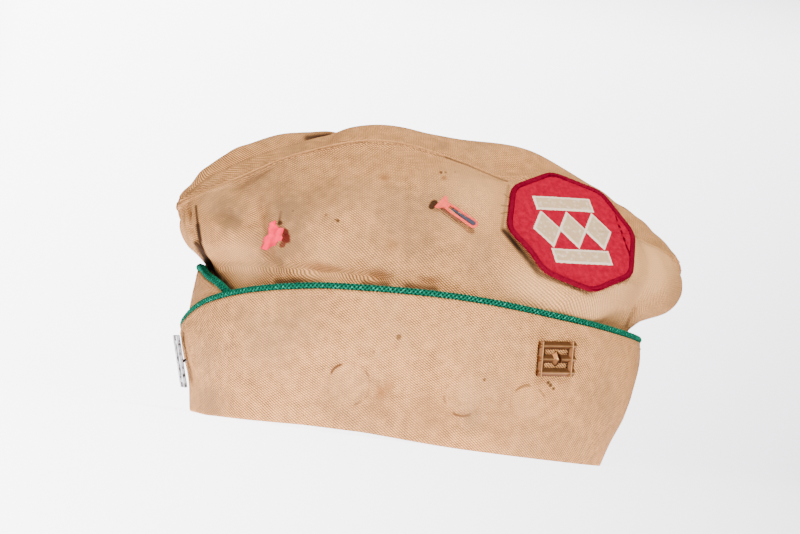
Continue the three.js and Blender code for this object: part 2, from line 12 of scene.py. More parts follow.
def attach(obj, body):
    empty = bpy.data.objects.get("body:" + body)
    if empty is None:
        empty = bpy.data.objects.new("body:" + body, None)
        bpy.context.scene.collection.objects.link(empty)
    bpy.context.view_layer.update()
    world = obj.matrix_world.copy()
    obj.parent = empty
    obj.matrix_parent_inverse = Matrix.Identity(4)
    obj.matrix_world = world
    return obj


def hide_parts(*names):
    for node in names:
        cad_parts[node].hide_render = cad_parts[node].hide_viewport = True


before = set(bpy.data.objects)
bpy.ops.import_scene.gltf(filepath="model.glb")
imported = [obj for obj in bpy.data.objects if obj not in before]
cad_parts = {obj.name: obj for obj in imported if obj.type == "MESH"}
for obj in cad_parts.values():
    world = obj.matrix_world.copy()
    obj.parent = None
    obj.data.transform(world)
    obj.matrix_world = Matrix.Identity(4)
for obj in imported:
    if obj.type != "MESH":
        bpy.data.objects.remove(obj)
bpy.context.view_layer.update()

# Crown sides. Two mirrored panels of twill rise from the rim, bulge above the curtain, are
# pinched at the front and rear seams, and end in the long seam that joins them to the top.
rim_middle = np.array([-4.9205, -0.0667, 0.0])
head_length = 192
head_width = 155
crown_wall = 1.5
curtain_wall = 2.0
gap = 0.3
crown_height = 148
front_peak_height = 98
rear_peak_height = 102
front_overhang = 25.5
rear_overhang = 34.5
gusset_width = 78
curtain_height = 66
fold_depth = 7
fold_width = 7.5
crown_front = -head_length / 2 - crown_wall
crown_rear = head_length / 2 + crown_wall
crown_half = head_width / 2 + crown_wall
front_peak = crown_front - front_overhang
rear_peak = crown_rear + rear_overhang
crown_length = rear_peak - front_peak

# side, front, rear height; reach ahead, behind; half width; pointedness, and what the rear has
# less of it; folds front, rear
crown_sections = [
    (0.000, 0.000, 0.000, 0.00, 0.00, 1.00, 0.92, 0.00, 0.0, 0.0),
    (0.516, 0.520, 0.510, 0.10, 0.10, 1.01, 0.92, 0.00, 0.0, 0.0),
    (0.942, 0.906, 0.912, 0.13, 0.17, 1.02, 0.95, 0.00, 0.2, 0.2),
    (1.116, 1.173, 1.110, 0.29, 0.33, 1.02, 1.00, 0.05, 0.8, 0.9),
    (1.296, 1.388, 1.360, 0.72, 0.80, 0.98, 1.06, 0.15, 1.0, 0.7),
    (1.513, 1.602, 1.560, 0.97, 1.00, 0.89, 1.20, 0.25, 1.0, 0.3),
    (1.711, 1.816, 1.773, 1.04, 1.05, 0.74, 1.42, 0.35, 0.5, 0.1),
]
# half width of the top, then heights across it: left seam, ridge, hollow, ridge, right seam
top_sections = [
    (0.000, 0.662, 0.662, 0.662, 0.662, 0.662),
    (0.090, 0.692, 0.708, 0.716, 0.738, 0.700),
    (0.256, 0.762, 0.812, 0.806, 0.872, 0.790),
    (0.410, 0.868, 0.918, 0.880, 0.966, 0.880),
    (0.487, 0.940, 1.004, 0.916, 0.990, 0.930),
    (0.500, 0.912, 1.000, 0.926, 0.980, 0.917),
    (0.488, 0.842, 1.000, 0.926, 0.966, 0.865),
    (0.432, 0.782, 0.917, 0.878, 0.905, 0.797),
    (0.305, 0.745, 0.828, 0.811, 0.824, 0.743),
    (0.130, 0.723, 0.746, 0.740, 0.743, 0.716),
    (0.000, 0.690, 0.690, 0.690, 0.690, 0.690),
]
# Dents: share of the crown's length, share of its height, half sizes in the same shares,
# slant in radians, depth in mm. The wide ones come first, then the sharp folds.
left_dents = [
    (0.160, 0.630, 0.030, 0.120, 0.25, 2.5),
    (0.270, 0.520, 0.070, 0.040, -0.60, 2.0),
    (0.300, 0.700, 0.060, 0.080, 0.00, -1.6),
    (0.520, 0.560, 0.110, 0.050, -0.20, 1.6),
    (0.860, 0.560, 0.050, 0.050, 0.80, 2.7),
    (0.930, 0.620, 0.035, 0.080, 0.30, -1.8),
    (0.080, 0.628, 0.030, 0.022, -0.50, 3.4),
    (0.085, 0.540, 0.022, 0.030, -0.20, -1.6),
    (0.140, 0.600, 0.013, 0.100, 0.22, 2.4),
    (0.200, 0.640, 0.030, 0.060, 0.20, -1.2),
    (0.250, 0.492, 0.038, 0.017, -0.05, 3.6),
    (0.344, 0.494, 0.018, 0.018, 0.20, 3.6),
    (0.435, 0.496, 0.022, 0.016, 0.00, 3.2),
    (0.560, 0.500, 0.030, 0.020, 0.00, 1.2),
    (0.330, 0.640, 0.040, 0.030, 0.60, 1.2),
    (0.420, 0.600, 0.030, 0.060, -0.50, -1.3),
    (0.520, 0.700, 0.060, 0.030, -0.40, 1.3),
    (0.590, 0.600, 0.030, 0.070, -0.50, -1.5),
]
right_dents = [
    (0.200, 0.620, 0.050, 0.110, -0.30, 2.2),
    (0.450, 0.660, 0.120, 0.050, 0.20, 2.7),
    (0.660, 0.580, 0.070, 0.070, -0.50, 1.8),
    (0.880, 0.600, 0.050, 0.060, -0.70, 2.2),
    (0.320, 0.530, 0.030, 0.014, 0.50, 1.2),
    (0.560, 0.500, 0.026, 0.016, -0.20, 1.2),
    (0.760, 0.520, 0.012, 0.040, 0.30, 1.3),
]
# Sharp folds of the left side: points on the cloth, half width, depth, both in mm
left_creases = [
    ([(-118, -7, 98), (-116.8, -12, 94), (-114.5, -17, 84), (-108.5, -20, 72)], 1.6, 3.6),
    ([(-86, -48, 80), (-80, -55, 73), (-74.6, -62, 66)], 2.2, 1.9),
    ([(-88, -46, 92), (-87, -48, 86), (-84, -50, 80)], 1.8, 1.0),
    ([(103, -34, 84), (99.1, -42, 77.7), (97.2, -36, 69.3)], 2.4, 3.2),
    ([(116, -30, 94), (114.5, -34, 91), (112, -38, 84)], 1.3, 1.0),
    ([(109.5, -36, 86), (108, -39, 82), (104, -42, 79)], 1.3, 1.0),
    ([(-20, -70, 104), (-12, -68, 108), (-6, -66, 112)], 1.6, 0.7),
    ([(12, -74, 98), (22, -74, 92), (34, -73, 88)], 2.2, 0.9),
]


def between(rows, place):
    """Values on a smooth curve through equally spaced rows, at places between them."""
    rows = np.asarray(rows, float)
    full = np.concatenate(([2 * rows[0] - rows[1]], rows, [2 * rows[-1] - rows[-2]]))
    place = np.asarray(place, float)
    row = np.clip(np.floor(place).astype(int), 0, len(rows) - 2)
    part = (place - row).reshape(place.shape + (1,) * (rows.ndim - 1))
    before, start, end, after = (full[row + step] for step in range(4))
    bend = 2 * before - 5 * start + 4 * end - after
    twist = 3 * start - before - 3 * end + after
    return start + 0.5 * part * (end - before + part * (bend + part * twist))


def oval(front, rear, half, pointed, angle, side):
    """x and y on an oval; angle 0 is its front end, side -1 its left half."""
    x = (front + rear) / 2 - (rear - front) / 2 * np.cos(angle)
    y = side * (gap / 2 + half * np.maximum(np.sin(angle), 0) ** pointed)
    return x, y


def seam(angle, side):
    """Points of the seam between a crown side and the top."""
    rows = between(top_sections, angle / math.pi * (len(top_sections) - 1))
    x = (front_peak + rear_peak) / 2 - crown_length / 2 * np.cos(angle)
    y = side * (gap / 2 + gusset_width * np.maximum(rows[..., 0], 0))
    return np.stack((x, y, crown_height * rows[..., 1 if side < 0 else 5]), -1)


def height_of(share, top):
    if share <= 1:
        return share * curtain_height
    return curtain_height + (share - 1) * (top - curtain_height)


def rim_rise(points):
    """How far the worn lower edge curls up off the floor: at the front and along the left."""
    x, y, z = points[..., 0], points[..., 1], points[..., 2]
    rise = 2.2 * np.exp(-(((x + 44) / 36) ** 2)) * (y < -20)
    rise = rise + 3.0 * np.clip((-97 - x) / 9, 0, 1) ** 2
    return rise * np.clip(1 - z / 30, 0, 1)


def section(row, angle, side):
    """Points of one row of a crown side."""
    mid, front, rear, ahead, behind, half, pointed, fuller, fold_front, fold_rear = row
    low = height_of(front, front_peak_height)
    ends = low + (height_of(rear, rear_peak_height) - low) * (1 - np.cos(angle)) / 2
    rise = np.maximum(np.sin(angle), 0) ** 1.6
    z = ends + (height_of(mid, crown_height) - ends) * rise
    reach_front = crown_front - front_overhang * ahead
    reach_rear = crown_rear + rear_overhang * behind
    pointed = pointed - fuller * (1 - np.cos(angle)) / 2
    x, y = oval(reach_front, reach_rear, crown_half * half, pointed, angle, side)
    fold = np.exp(-((y / fold_width) ** 2)) * fold_depth
    x = x + fold * np.where(x < 0, fold_front, -fold_rear)
    return np.stack((x, y, z), -1)


def normals_of(points, inside):
    """Unit normals of a grid of points, all turned away from a point inside."""
    up = np.gradient(points, axis=0)
    along = np.gradient(points, axis=1)
    normal = np.cross(along, up)
    normal /= np.maximum(np.linalg.norm(normal, axis=-1, keepdims=True), 1e-9)
    away = np.sum(normal * (points - inside), -1, keepdims=True)
    return np.where(away < 0, -normal, normal)


def dent_depth(dents, points):
    along = (points[..., 0] - front_peak) / crown_length
    up = points[..., 2] / crown_height
    depth = np.zeros(along.shape)
    for at, high_at, long, high, turn, deep in dents:
        across = ((along - at) * math.cos(turn) + (up - high_at) * math.sin(turn)) / long
        rise = ((up - high_at) * math.cos(turn) - (along - at) * math.sin(turn)) / high
        depth += deep * np.exp(-across * across - rise * rise)
    return depth


def crease_depth(creases, points):
    """Depth of sharp folds: a valley along each line of points, with a low lip beside it."""
    depth = np.zeros(points.shape[:-1])
    for line, half, deep in creases:
        line = np.array(line, float)
        best = np.full(depth.shape, 1e9)
        where = np.zeros(depth.shape)
        for step, (start, end) in enumerate(zip(line[:-1], line[1:])):
            way = end - start
            share = np.clip((points - start) @ way / (way @ way), 0, 1)
            far = np.linalg.norm(points - start - share[..., None] * way, axis=-1)
            where = np.where(far < best, (step + share) / (len(line) - 1), where)
            best = np.minimum(best, far)
        taper = np.sin(math.pi * np.clip(where * 0.8 + 0.1, 0, 1)) ** 0.7
        valley = np.exp(-((best / half) ** 2)) - 0.15 * np.exp(-(((best - 2.1 * half) / half) ** 2))
        depth += deep * taper * valley
    return depth


def rumple(points, seed, count, smallest, largest, slope):
    """Small random swellings of handled cloth, in mm: smooth bumps of random size and slant."""
    random = np.random.default_rng(seed)
    flat = points.reshape(-1, 3)
    total = np.zeros(len(flat))
    low, high = flat.min(0), flat.max(0)
    for _ in range(count):
        middle = random.uniform(low, high)
        middle = flat[np.argmin(np.sum((flat - middle) ** 2, -1))]
        size = random.uniform(smallest, largest)
        slant = random.normal(size=3)
        slant /= np.linalg.norm(slant)
        away = flat - middle
        lengthwise = away @ slant
        distance = np.sum(away ** 2, -1) + 3.5 * lengthwise ** 2
        total += random.choice((-1, 1)) * slope * size * np.exp(-distance / size ** 2)
    return total.reshape(points.shape[:-1])


def lengths_along(points, axis):
    """Distance along a grid's rows or columns, measured from their middle."""
    step = np.linalg.norm(np.diff(points, axis=axis), axis=-1)
    total = np.cumsum(step, axis=axis)
    total = np.insert(total, 0, 0, axis=axis)
    return total - np.take(total, [total.shape[axis] // 2], axis=axis)


def new_object(name, points, faces, smooth=True):
    """A linked object of points in metres."""
    mesh = bpy.data.meshes.new(name)
    mesh.from_pydata(points, [], faces)
    mesh.polygons.foreach_set("use_smooth", [smooth] * len(mesh.polygons))
    mesh.update()
    made = bpy.data.objects.new(name, mesh)
    bpy.context.collection.objects.link(made)
    return made


def keep_flat(made, name, flat):
    """Keeps two numbers for each point of an object as its UVs."""
    corners = np.empty(len(made.data.loops), int)
    made.data.loops.foreach_get("vertex_index", corners)
    layers = made.data.uv_layers
    layer = layers.get(name) or layers.new(name=name)
    layer.data.foreach_set("uv", flat[corners].reshape(-1))


def cloth_sheet(name, outer, inner):
    """A closed sheet between two grids of points, with its cloth laid flat in metres as UVs."""
    rows, columns = outer.shape[:2]
    under = rows * columns
    index = np.arange(under).reshape(rows, columns)
    quads = np.stack((index[:-1, :-1], index[:-1, 1:], index[1:, 1:], index[1:, :-1]), -1).reshape(-1, 4)
    edge = np.concatenate((index[0, :-1], index[:-1, -1], index[-1, :0:-1], index[:0:-1, 0]))
    following = np.roll(edge, -1)
    sides = np.stack((following, edge, edge + under, following + under), -1)
    faces = np.concatenate((quads, quads[:, ::-1] + under, sides))
    points = (np.concatenate((outer.reshape(-1, 3), inner.reshape(-1, 3))) + rim_middle) / 1000
    corners = points[faces]
    first, second, third, fourth = (corners[:, k] for k in range(4))
    volume = np.sum(first * np.cross(second - first, third - first))
    volume += np.sum(first * np.cross(third - first, fourth - first))
    if volume < 0:
        faces = faces[:, ::-1]
    made = new_object(name, points.tolist(), faces.tolist())
    flat = np.stack((lengths_along(outer, 1), lengths_along(outer, 0)), -1).reshape(-1, 2) / 1000
    keep_flat(made, "cloth", np.concatenate((flat, flat)))
    return made


def crown_side(name, side, dents, creases, rows, columns, seed):
    angle = np.linspace(0, math.pi, columns + 1)
    up = np.linspace(0, 1, rows + 1)
    tables = [section(row, angle, side) for row in crown_sections] + [seam(angle, side)]
    outer = between(tables, up * len(crown_sections))
    inside = np.array((0, 0, crown_height / 2))
    normals = normals_of(outer, inside)
    fade = np.minimum(1, np.minimum(3 * up, 6 * (1 - up)))[:, None]
    depth = fade * (dent_depth(dents, outer) + crease_depth(creases, outer))
    from_seam = np.linalg.norm(outer - outer[-1], axis=-1)
    rough = rumple(outer, seed, 260, 4, 14, 0.085) * np.minimum(1, from_seam / 6)
    rough = rough * np.clip((outer[..., 2] - 30) / 25, 0.15, 1)
    pucker = 0.28 * np.sin(lengths_along(outer, 1) / 1.9) * np.exp(-((from_seam - 6) / 4) ** 2)
    welt = 0.55 * np.clip((from_seam - 0.3) / 0.8, 0, 1) * np.clip((3.4 - from_seam) / 0.7, 0, 1)
    outer = outer + normals * (rough + pucker + welt - depth)[..., None]
    outer[..., 1] = side * np.maximum(gap / 2, side * outer[..., 1])
    inner = outer - normals_of(outer, inside) * crown_wall
    inner[..., 1] = side * np.maximum(gap / 2, side * inner[..., 1])
    inner[0, :, 2] = 0
    inner[-1, :, 2] -= gap + crown_wall * 0.35
    outer[..., 2] += rim_rise(outer)
    inner[..., 2] += rim_rise(inner)
    made = cloth_sheet(name, outer, inner)
    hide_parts(name.replace("twill", "crown"))
    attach(made, "root")
    return made, outer


twill_left, left_skin = crown_side("twill_left", -1, left_dents, left_creases, 120, 300, 3)
twill_right, right_skin = crown_side("twill_right", 1, right_dents, [], 90, 200, 4)


# Cloth. Tan cotton twill, faded, for the crown and the curtain. Its marks lie where
# the left side shows them, seen level and a little from the front. Besides stains and holes they
# include painted shade in hollows, creases and gaps, and painted light on lit parts.
view_turn = math.radians(12)
view_right = np.array((math.cos(view_turn), -math.sin(view_turn), 0))
view_ahead = np.array((math.sin(view_turn), math.cos(view_turn), 0))
twill_pitch = 0.00098


class Field:
    """A number, vector or colour worked out at each point of a material."""

    def __init__(self, tree, socket):
        self.tree = tree
        self.socket = socket

    def node(self, kind, settings, inputs, output=0):
        made = self.tree.nodes.new(kind)
        for key, value in settings.items():
            setattr(made, key, value)
        for key, value in inputs.items():
            if isinstance(value, Field):
                self.tree.links.new(value.socket, made.inputs[key])
            else:
                made.inputs[key].default_value = value
        return Field(self.tree, made.outputs[output])

    def math(self, operation, *values):
        return self.node("ShaderNodeMath", {"operation": operation}, dict(enumerate(values)))

    def along(self, way):
        """How far this position lies along a direction."""
        return self.node("ShaderNodeVectorMath", {"operation": "DOT_PRODUCT"}, {0: self, 1: way}, 1)

    def part(self, index):
        """One of the three numbers of this vector."""
        return self.node("ShaderNodeSeparateXYZ", {}, {0: self}, index)

    def plain(self, tone):
        """One colour everywhere."""
        made = self.node("ShaderNodeRGB", {}, {})
        made.socket.default_value = (*tone, 1)
        return made

    def absolute(self):
        return self.math("ABSOLUTE", self)

    def least(self, other):
        return self.math("MINIMUM", self, other)

    def most(self, other):
        return self.math("MAXIMUM", self, other)

    def wave(self):
        """From 0 to 1 and back as this grows by a full turn."""
        return self.math("SINE", self) * 0.5 + 0.5

    def __add__(self, other):
        return self.math("ADD", self, other)

    def __radd__(self, other):
        return self.math("ADD", other, self)

    def __sub__(self, other):
        return self.math("SUBTRACT", self, other)

    def __rsub__(self, other):
        return self.math("SUBTRACT", other, self)

    def __mul__(self, other):
        return self.math("MULTIPLY", self, other)

    def __rmul__(self, other):
        return self.math("MULTIPLY", other, self)

    def __truediv__(self, other):
        return self.math("DIVIDE", self, other)

    def step(self, start, end):
        """0 below start and 1 above end, smooth between them; the other way round if end is lower."""
        limits = {1: start, 2: end, 3: 0.0, 4: 1.0}
        settings = {"interpolation_type": "SMOOTHSTEP", "clamp": True}
        return self.node("ShaderNodeMapRange", settings, {0: self, **limits})

    def noise(self, scale, detail):
        """Smooth noise about 0.5 at this position, scale in waves a metre."""
        return self.node("ShaderNodeTexNoise", {}, {"Vector": self, "Scale": scale, "Detail": detail})

    def beside(self, start, end=None):
        """Distance in mm from a point, or from a line between two, as the left side shows them."""
        across = self.along(view_right) * 1000
        height = self.along((0, 0, 1)) * 1000
        first = np.array(start) + rim_middle
        across = across - float(first @ view_right)
        height = height - float(first[2])
        if end is not None:
            way = np.array(end) - np.array(start)
            long, tall = float(way @ view_right), float(way[2])
            share = (across * long + height * tall) / (long * long + tall * tall)
            share = share.most(0.0).least(1.0)
            across = across - share * long
            height = height - share * tall
        return across.math("SQRT", across * across + height * height)

    def mix(self, other, share):
        """This colour, turning to the other as share goes from 0 to 1."""
        inputs = {0: share, 6: self, 7: other}
        return self.node("ShaderNodeMix", {"data_type": "RGBA"}, inputs, 2)

    def times(self, number):
        """This colour made lighter or darker by a number."""
        scaled = {"operation": "SCALE"}
        return self.node("ShaderNodeVectorMath", scaled, {0: self, "Scale": number})


def material(name):
    """A new material, its shader node, and the position and UV at each point as fields."""
    made = bpy.data.materials.new(name)
    made.use_nodes = True
    tree = made.node_tree
    shader = tree.nodes["Principled BSDF"]
    where = Field(tree, tree.nodes.new("ShaderNodeNewGeometry").outputs["Position"])
    flat = Field(tree, tree.nodes.new("ShaderNodeUVMap").outputs["UV"])
    return made, shader, where, flat


def finish_material(shader, colour, roughness, height, depth):
    """Links a colour, a roughness and a bump of a height 0 to 1 that is depth mm deep."""
    tree = colour.tree
    tree.links.new(colour.socket, shader.inputs["Base Color"])
    if isinstance(roughness, Field):
        tree.links.new(roughness.socket, shader.inputs["Roughness"])
    else:
        shader.inputs["Roughness"].default_value = roughness
    inputs = {"Height": height, "Distance": depth / 1000, "Strength": 1.0}
    bump = height.node("ShaderNodeBump", {}, inputs)
    tree.links.new(bump.socket, shader.inputs["Normal"])


# kind of mark: where it begins and where it is full, in its own sizes from its middle; colour
mark_looks = {
    "stain": (1.3, 0.2, (0.30, 0.12, 0.035, 1)),
    # dark patches of painted shade
    "painted_shade": (1.5, 0.0, (0.27, 0.145, 0.065, 1)),
    # pale patches of painted light
    "painted_light": (1.4, 0.0, (0.98, 0.52, 0.21, 1)),
    # a torn hole, dark red with painted shade inside it
    "shaded_tear": (1.15, 0.7, (0.10, 0.006, 0.006, 1)),
    # small holes, dark with painted shade inside them
    "shaded_nick": (1.2, 0.6, (0.05, 0.02, 0.008, 1)),
}


def twill(name, turn, marks, discs=()):
    """Cotton twill: diagonal ribs of yarn, faded, with marks (kind, place, size,
    strength) and paler discs with dark strokes round them (place, radius, strokes). Besides stains,
    the marks are holes dark with painted shade inside them, dark patches and fold lines of painted
    shade, and pale patches of painted light. The place of a fold is a row of points."""
    made, shader, where, flat = material(name)
    across = flat.part(0)
    upward = flat.part(1)
    wander = flat.noise(170, 2) - 0.5
    turns = 2 * math.pi / twill_pitch
    rib = across * (turns * math.cos(turn)) + upward * (turns * math.sin(turn)) + wander * 3
    lengthwise = upward * (turns * 0.72 * math.cos(turn)) - across * (turns * 0.72 * math.sin(turn))
    float_end = rib * 0.5 + lengthwise
    ribs = rib.wave()
    yarn = float_end.wave()
    slub = flat.noise(1300, 3)
    height = ribs * (0.55 + yarn * 0.45) + slub * 0.4
    cloudy = where.noise(34, 4)
    fine = where.noise(230, 3)
    base = where.plain((0.74, 0.345, 0.122))
    dull = where.plain((0.46, 0.240, 0.100))
    colour = base.mix(dull, cloudy.step(0.42, 0.68) * 0.55)
    shade = 0.14 + ribs * (0.54 + yarn * 0.80) + slub * 0.36
    shade = shade + (cloudy - 0.5) * 0.50 + (fine - 0.5) * 0.60
    colour = colour.times(shade)
    for place, radius, arcs in discs:
        distance = where.beside(place) + (fine - 0.5) * 1.2
        colour = colour.mix((0.80, 0.42, 0.17, 1), distance.step(radius + 0.3, radius - 2.0) * 0.14)
        line = (distance - radius).absolute()
        faint = line.step(0.5, 0.2) * where.noise(150, 2).step(0.5, 0.62) * 0.35
        colour = colour.mix((0.30, 0.12, 0.04, 1), faint)
        for middle, half, strength in arcs:
            stroke = line.step(0.75, 0.35) * where.beside(middle).step(half + 1, half - 0.5)
            colour = colour.mix((0.10, 0.035, 0.012, 1), stroke * strength)
    left = where.along((0, 1, 0)).step(0.024, 0.016)
    for kind, place, size, strength in marks:
        strength = left * strength
        # A fold mark is a line of painted shade along a crease, a gap or an edge.
        if kind == "fold":
            share = 0.0
            for start, end in zip(place[:-1], place[1:]):
                share = where.beside(start, end).step(size, size * 0.15).most(share)
            colour = colour.mix((0.030, 0.013, 0.007, 1), share * strength)
            continue
        begin, full, tone = mark_looks[kind]
        distance = where.beside(place) + (fine - 0.5) * (size * 0.9)
        share = distance.step(size * begin, size * full) * strength
        if kind == "stain":
            share = share * cloudy.step(0.25, 0.6)
        # The dark patches of painted shade and the pale patches of painted light follow the cloth's
        # cloudy tone.
        if kind in ("painted_shade", "painted_light"):
            share = share * (0.6 + cloudy * 0.8)
        colour = colour.mix(tone, share)
    finish_material(shader, colour, 0.95, height, 0.40)
    shader.inputs["Specular IOR Level"].default_value = 0.08
    return made


# Lines of painted shade down the front crease and in the gap between the crown and the curtain at the
# front.
front_fold_shade = [
    ("fold", [(-115.3, -16.0, 97.3), (-113.6, -21.0, 88.2), (-111.5, -22.3, 81.3)], 1.1, 0.9),
    ("fold", [(-113.6, -21.0, 88.0), (-111.0, -20.3, 79.3), (-106.6, -17.7, 71.0)], 1.9, 0.97),
    ("fold", [(-113.0, -17.0, 79.5), (-109.6, -15.0, 75.5), (-106.6, -15.0, 71.0)], 3.0, 0.95),
    ("fold", [(-104.0, -5.0, 71.1), (-100.4, -21.0, 65.3), (-96.0, -42.0, 58.7)], 2.9, 1.0),
]


def seam_line(*places):
    """Points just below the left seam, at distances along the cap."""
    points = []
    for x in places:
        angle = math.acos(((front_peak + rear_peak) / 2 - x) / (crown_length / 2))
        points.append(seam(np.array(angle), -1) - (0, 0, 0.9))
    return points


crown_stains_and_painted_light = front_fold_shade + [
    # Painted shade in the recesses just above the piping.
    ("fold", [(-77.5, -56, 64.6), (-68.1, -60.8, 66.2), (-59.5, -63.2, 66.2)], 3.6, 0.75),
    ("fold", [(-40.0, -71.7, 68.6), (-30.5, -73.8, 69.4)], 3.4, 0.70),
    ("fold", [(-21.0, -78.6, 69.9), (-9.5, -78.9, 70.2)], 4.2, 0.75),
    # Painted shadow along the lower left and lower edges of the patch and beside its left edge; the
    # three short strokes there stand for frayed threads.
    ("fold", [(23.0, -66, 102.6), (38.9, -80, 84.2)], 2.4, 1.0),
    ("fold", [(38.9, -80, 84.4), (65.6, -79.2, 78.4)], 1.6, 0.85),
    ("fold", [(25.7, -53.2, 125.6), (22.0, -65, 103.0)], 1.3, 0.5),
    ("fold", [(25.9, -58, 119.5), (22.9, -58, 120.9)], 0.5, 0.8),
    ("fold", [(25.0, -60, 115.3), (21.8, -60, 115.0)], 0.6, 0.8),
    ("fold", [(24.5, -61, 112.1), (21.7, -61, 110.9)], 0.5, 0.8),
    # Painted shade under the roll of the left seam.
    ("fold", seam_line(-84, -64, -44, -24, -3), 0.8, 0.38),
    ("fold", seam_line(-3, 8, 18, 28), 0.9, 0.75),
    ("fold", seam_line(86, 100, 112, 124), 0.9, 0.5),
    # Painted shade in the slit above the torn lining and in the crease of the rear pinch.
    ("fold", [(-79.6, -51, 97.6), (-79.9, -51.5, 92.0)], 1.1, 0.95),
    ("fold", [(97.8, -46.9, 77.4), (95.3, -42.2, 68.9)], 1.8, 0.5),
    # Pale patches of painted light that brighten the crown at the front, the rear, above the piping and
    # up the middle.
    ("painted_light", (-107, -22, 106), 12, 0.35),
    ("painted_light", (-92, -42, 71), 13, 0.45),
    ("painted_light", (-58, -66, 74), 12, 0.30),
    ("painted_light", (107, -38, 99), 18, 0.60),
    ("painted_light", (92, -50, 84), 16, 0.50),
    ("painted_light", (40, -76, 76), 18, 0.40),
    ("painted_light", (74, -66, 72), 16, 0.50),
    ("painted_light", (10, -60, 118), 20, 0.30),
    # Dark patches of painted shade in the hollows and dents of the crown.
    ("painted_shade", (-104, -29, 96.5), 7, 0.75),
    ("painted_shade", (-99.5, -36, 91.5), 7, 0.75),
    ("painted_shade", (-91, -33, 108), 15, 0.42),
    ("painted_shade", (-88, -38.3, 116), 13, 0.34),
    ("painted_shade", (-85, -47.3, 84), 8, 0.70),
    ("painted_shade", (-79.5, -51.6, 75), 7, 0.60),
    ("painted_shade", (-76.5, -52, 98), 10, 0.75),
    ("painted_shade", (-73.8, -56.1, 84), 9, 0.75),
    ("painted_shade", (-63, -60, 106), 14, 0.30),
    ("painted_shade", (-27, -69.9, 100), 16, 0.40),
    ("painted_shade", (-17, -75.5, 90), 14, 0.42),
    ("painted_shade", (10, -74, 92), 12, 0.25),
    ("painted_shade", (-12, -68, 110), 9, 0.35),
    # Holes in the cloth, beside the torn lining and elsewhere, dark with painted shade inside them; and
    # stains.
    ("shaded_tear", (-76.4, -54.2, 85.4), 2.6, 0.95),
    ("shaded_tear", (-76.8, -53.4, 88.6), 1.8, 0.9),
    ("shaded_tear", (-77.4, -54.2, 82.6), 1.6, 0.8),
    ("shaded_nick", (-79.3, -51.3, 92.6), 1.3, 0.9),
    ("shaded_nick", (-12.0, -68.0, 110.8), 1.9, 1.0),
    ("shaded_nick", (-12.8, -68.0, 108.9), 1.5, 1.0),
    ("shaded_nick", (-55.2, -66.3, 96.2), 1.0, 0.9),
    ("shaded_nick", (-56.4, -66.3, 96.6), 0.6, 0.7),
    ("shaded_nick", (-60.5, -62.8, 98.4), 0.7, 0.5),
    ("shaded_nick", (-74.4, -53.3, 98.7), 0.5, 0.5),
    ("shaded_nick", (-8.1, -56.1, 126.6), 0.9, 0.75),
    ("shaded_nick", (-5.9, -56.1, 127.0), 0.6, 0.6),
    ("stain", (-7.0, -58.9, 123.9), 1.5, 0.9),
    ("shaded_nick", (-0.9, -53.5, 128.0), 0.6, 0.3),
    ("stain", (-34.9, -57.7, 119.8), 2.6, 0.9),
    ("stain", (-28.0, -66.0, 88.0), 4.0, 0.5),
]
twill_left.data.materials.append(twill("twill_left", 0.95, crown_stains_and_painted_light))
twill_right.data.materials.append(twill("twill_right", -0.95, front_fold_shade))

# Top of the crown. A long leaf of the same cloth between the two seams, whose edges stand up as
# two ridges with a hollow between them.


def crown_top(rows, columns):
    tip = 0.13
    angle = np.linspace(tip, math.pi - tip, columns + 1)
    across = np.linspace(0, 1, rows + 1)
    table = between(top_sections, angle / math.pi * (len(top_sections) - 1))
    heights = between(table[:, 1:].T, across * 4) * crown_height
    x = (front_peak + rear_peak) / 2 - crown_length / 2 * np.cos(angle)
    half = gusset_width * table[:, 0] + gap / 2
    outer = np.stack(np.broadcast_arrays(x, half * (2 * across[:, None] - 1), heights), -1)
    inside = np.array((0, 0, crown_height / 2))
    normals = normals_of(outer, inside)
    from_seam = np.minimum(
        np.linalg.norm(outer - outer[0], axis=-1), np.linalg.norm(outer - outer[-1], axis=-1))
    rough = rumple(outer, 5, 110, 5, 16, 0.07) * np.minimum(1, from_seam / 6)
    for x_at, y_at, size, deep in ((-58, -22, 6, 3.0), (60, -8, 16, 2.0)):
        rough -= deep * np.exp(-((outer[..., 0] - x_at) ** 2 + (outer[..., 1] - y_at) ** 2) / size ** 2)
    pucker = 0.25 * np.sin(lengths_along(outer, 1) / 1.9) * np.exp(-((from_seam - 4) / 3) ** 2)
    outer = outer + normals * (rough + pucker)[..., None]
    inner = outer - normals_of(outer, inside) * crown_wall
    for points, drop in ((outer, gap * 1.6), (inner, crown_wall * 1.3)):
        for row, way in ((0, 1), (-1, -1)):
            points[row, :, 1] += way * np.minimum(drop, np.abs(points[row, :, 1]) * 0.8)
    made = cloth_sheet("twill_top", outer, inner)
    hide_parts("crown_top")
    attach(made, "root")
    return made


twill_top = crown_top(60, 220)
top_painted_shade = [
    # All painted shade: a dark line in the hollow behind the left ridge, and dark patches in hollows of
    # the top.
    ("fold", [(-62.0, 12.7, 140.6), (-57.5, 12.7, 141.9), (-51.5, 12.7, 143.6)], 3.2, 0.97),
    ("painted_shade", (-72, -20, 136), 9, 0.35),
    ("painted_shade", (-4.6, -35.1, 141.5), 4, 0.6),
]
twill_top.data.materials.append(twill("twill_top", 0.8, top_painted_shade))

# Curtain. Two turned-up bands of doubled cloth that lean outward, each carried past the front
# seam, the left one outermost.
curtain_flare = 11
piping_width = 2.8
overlap_angle = 0.9
overlap_lift = curtain_wall + (piping_width - curtain_wall) / 2 + gap
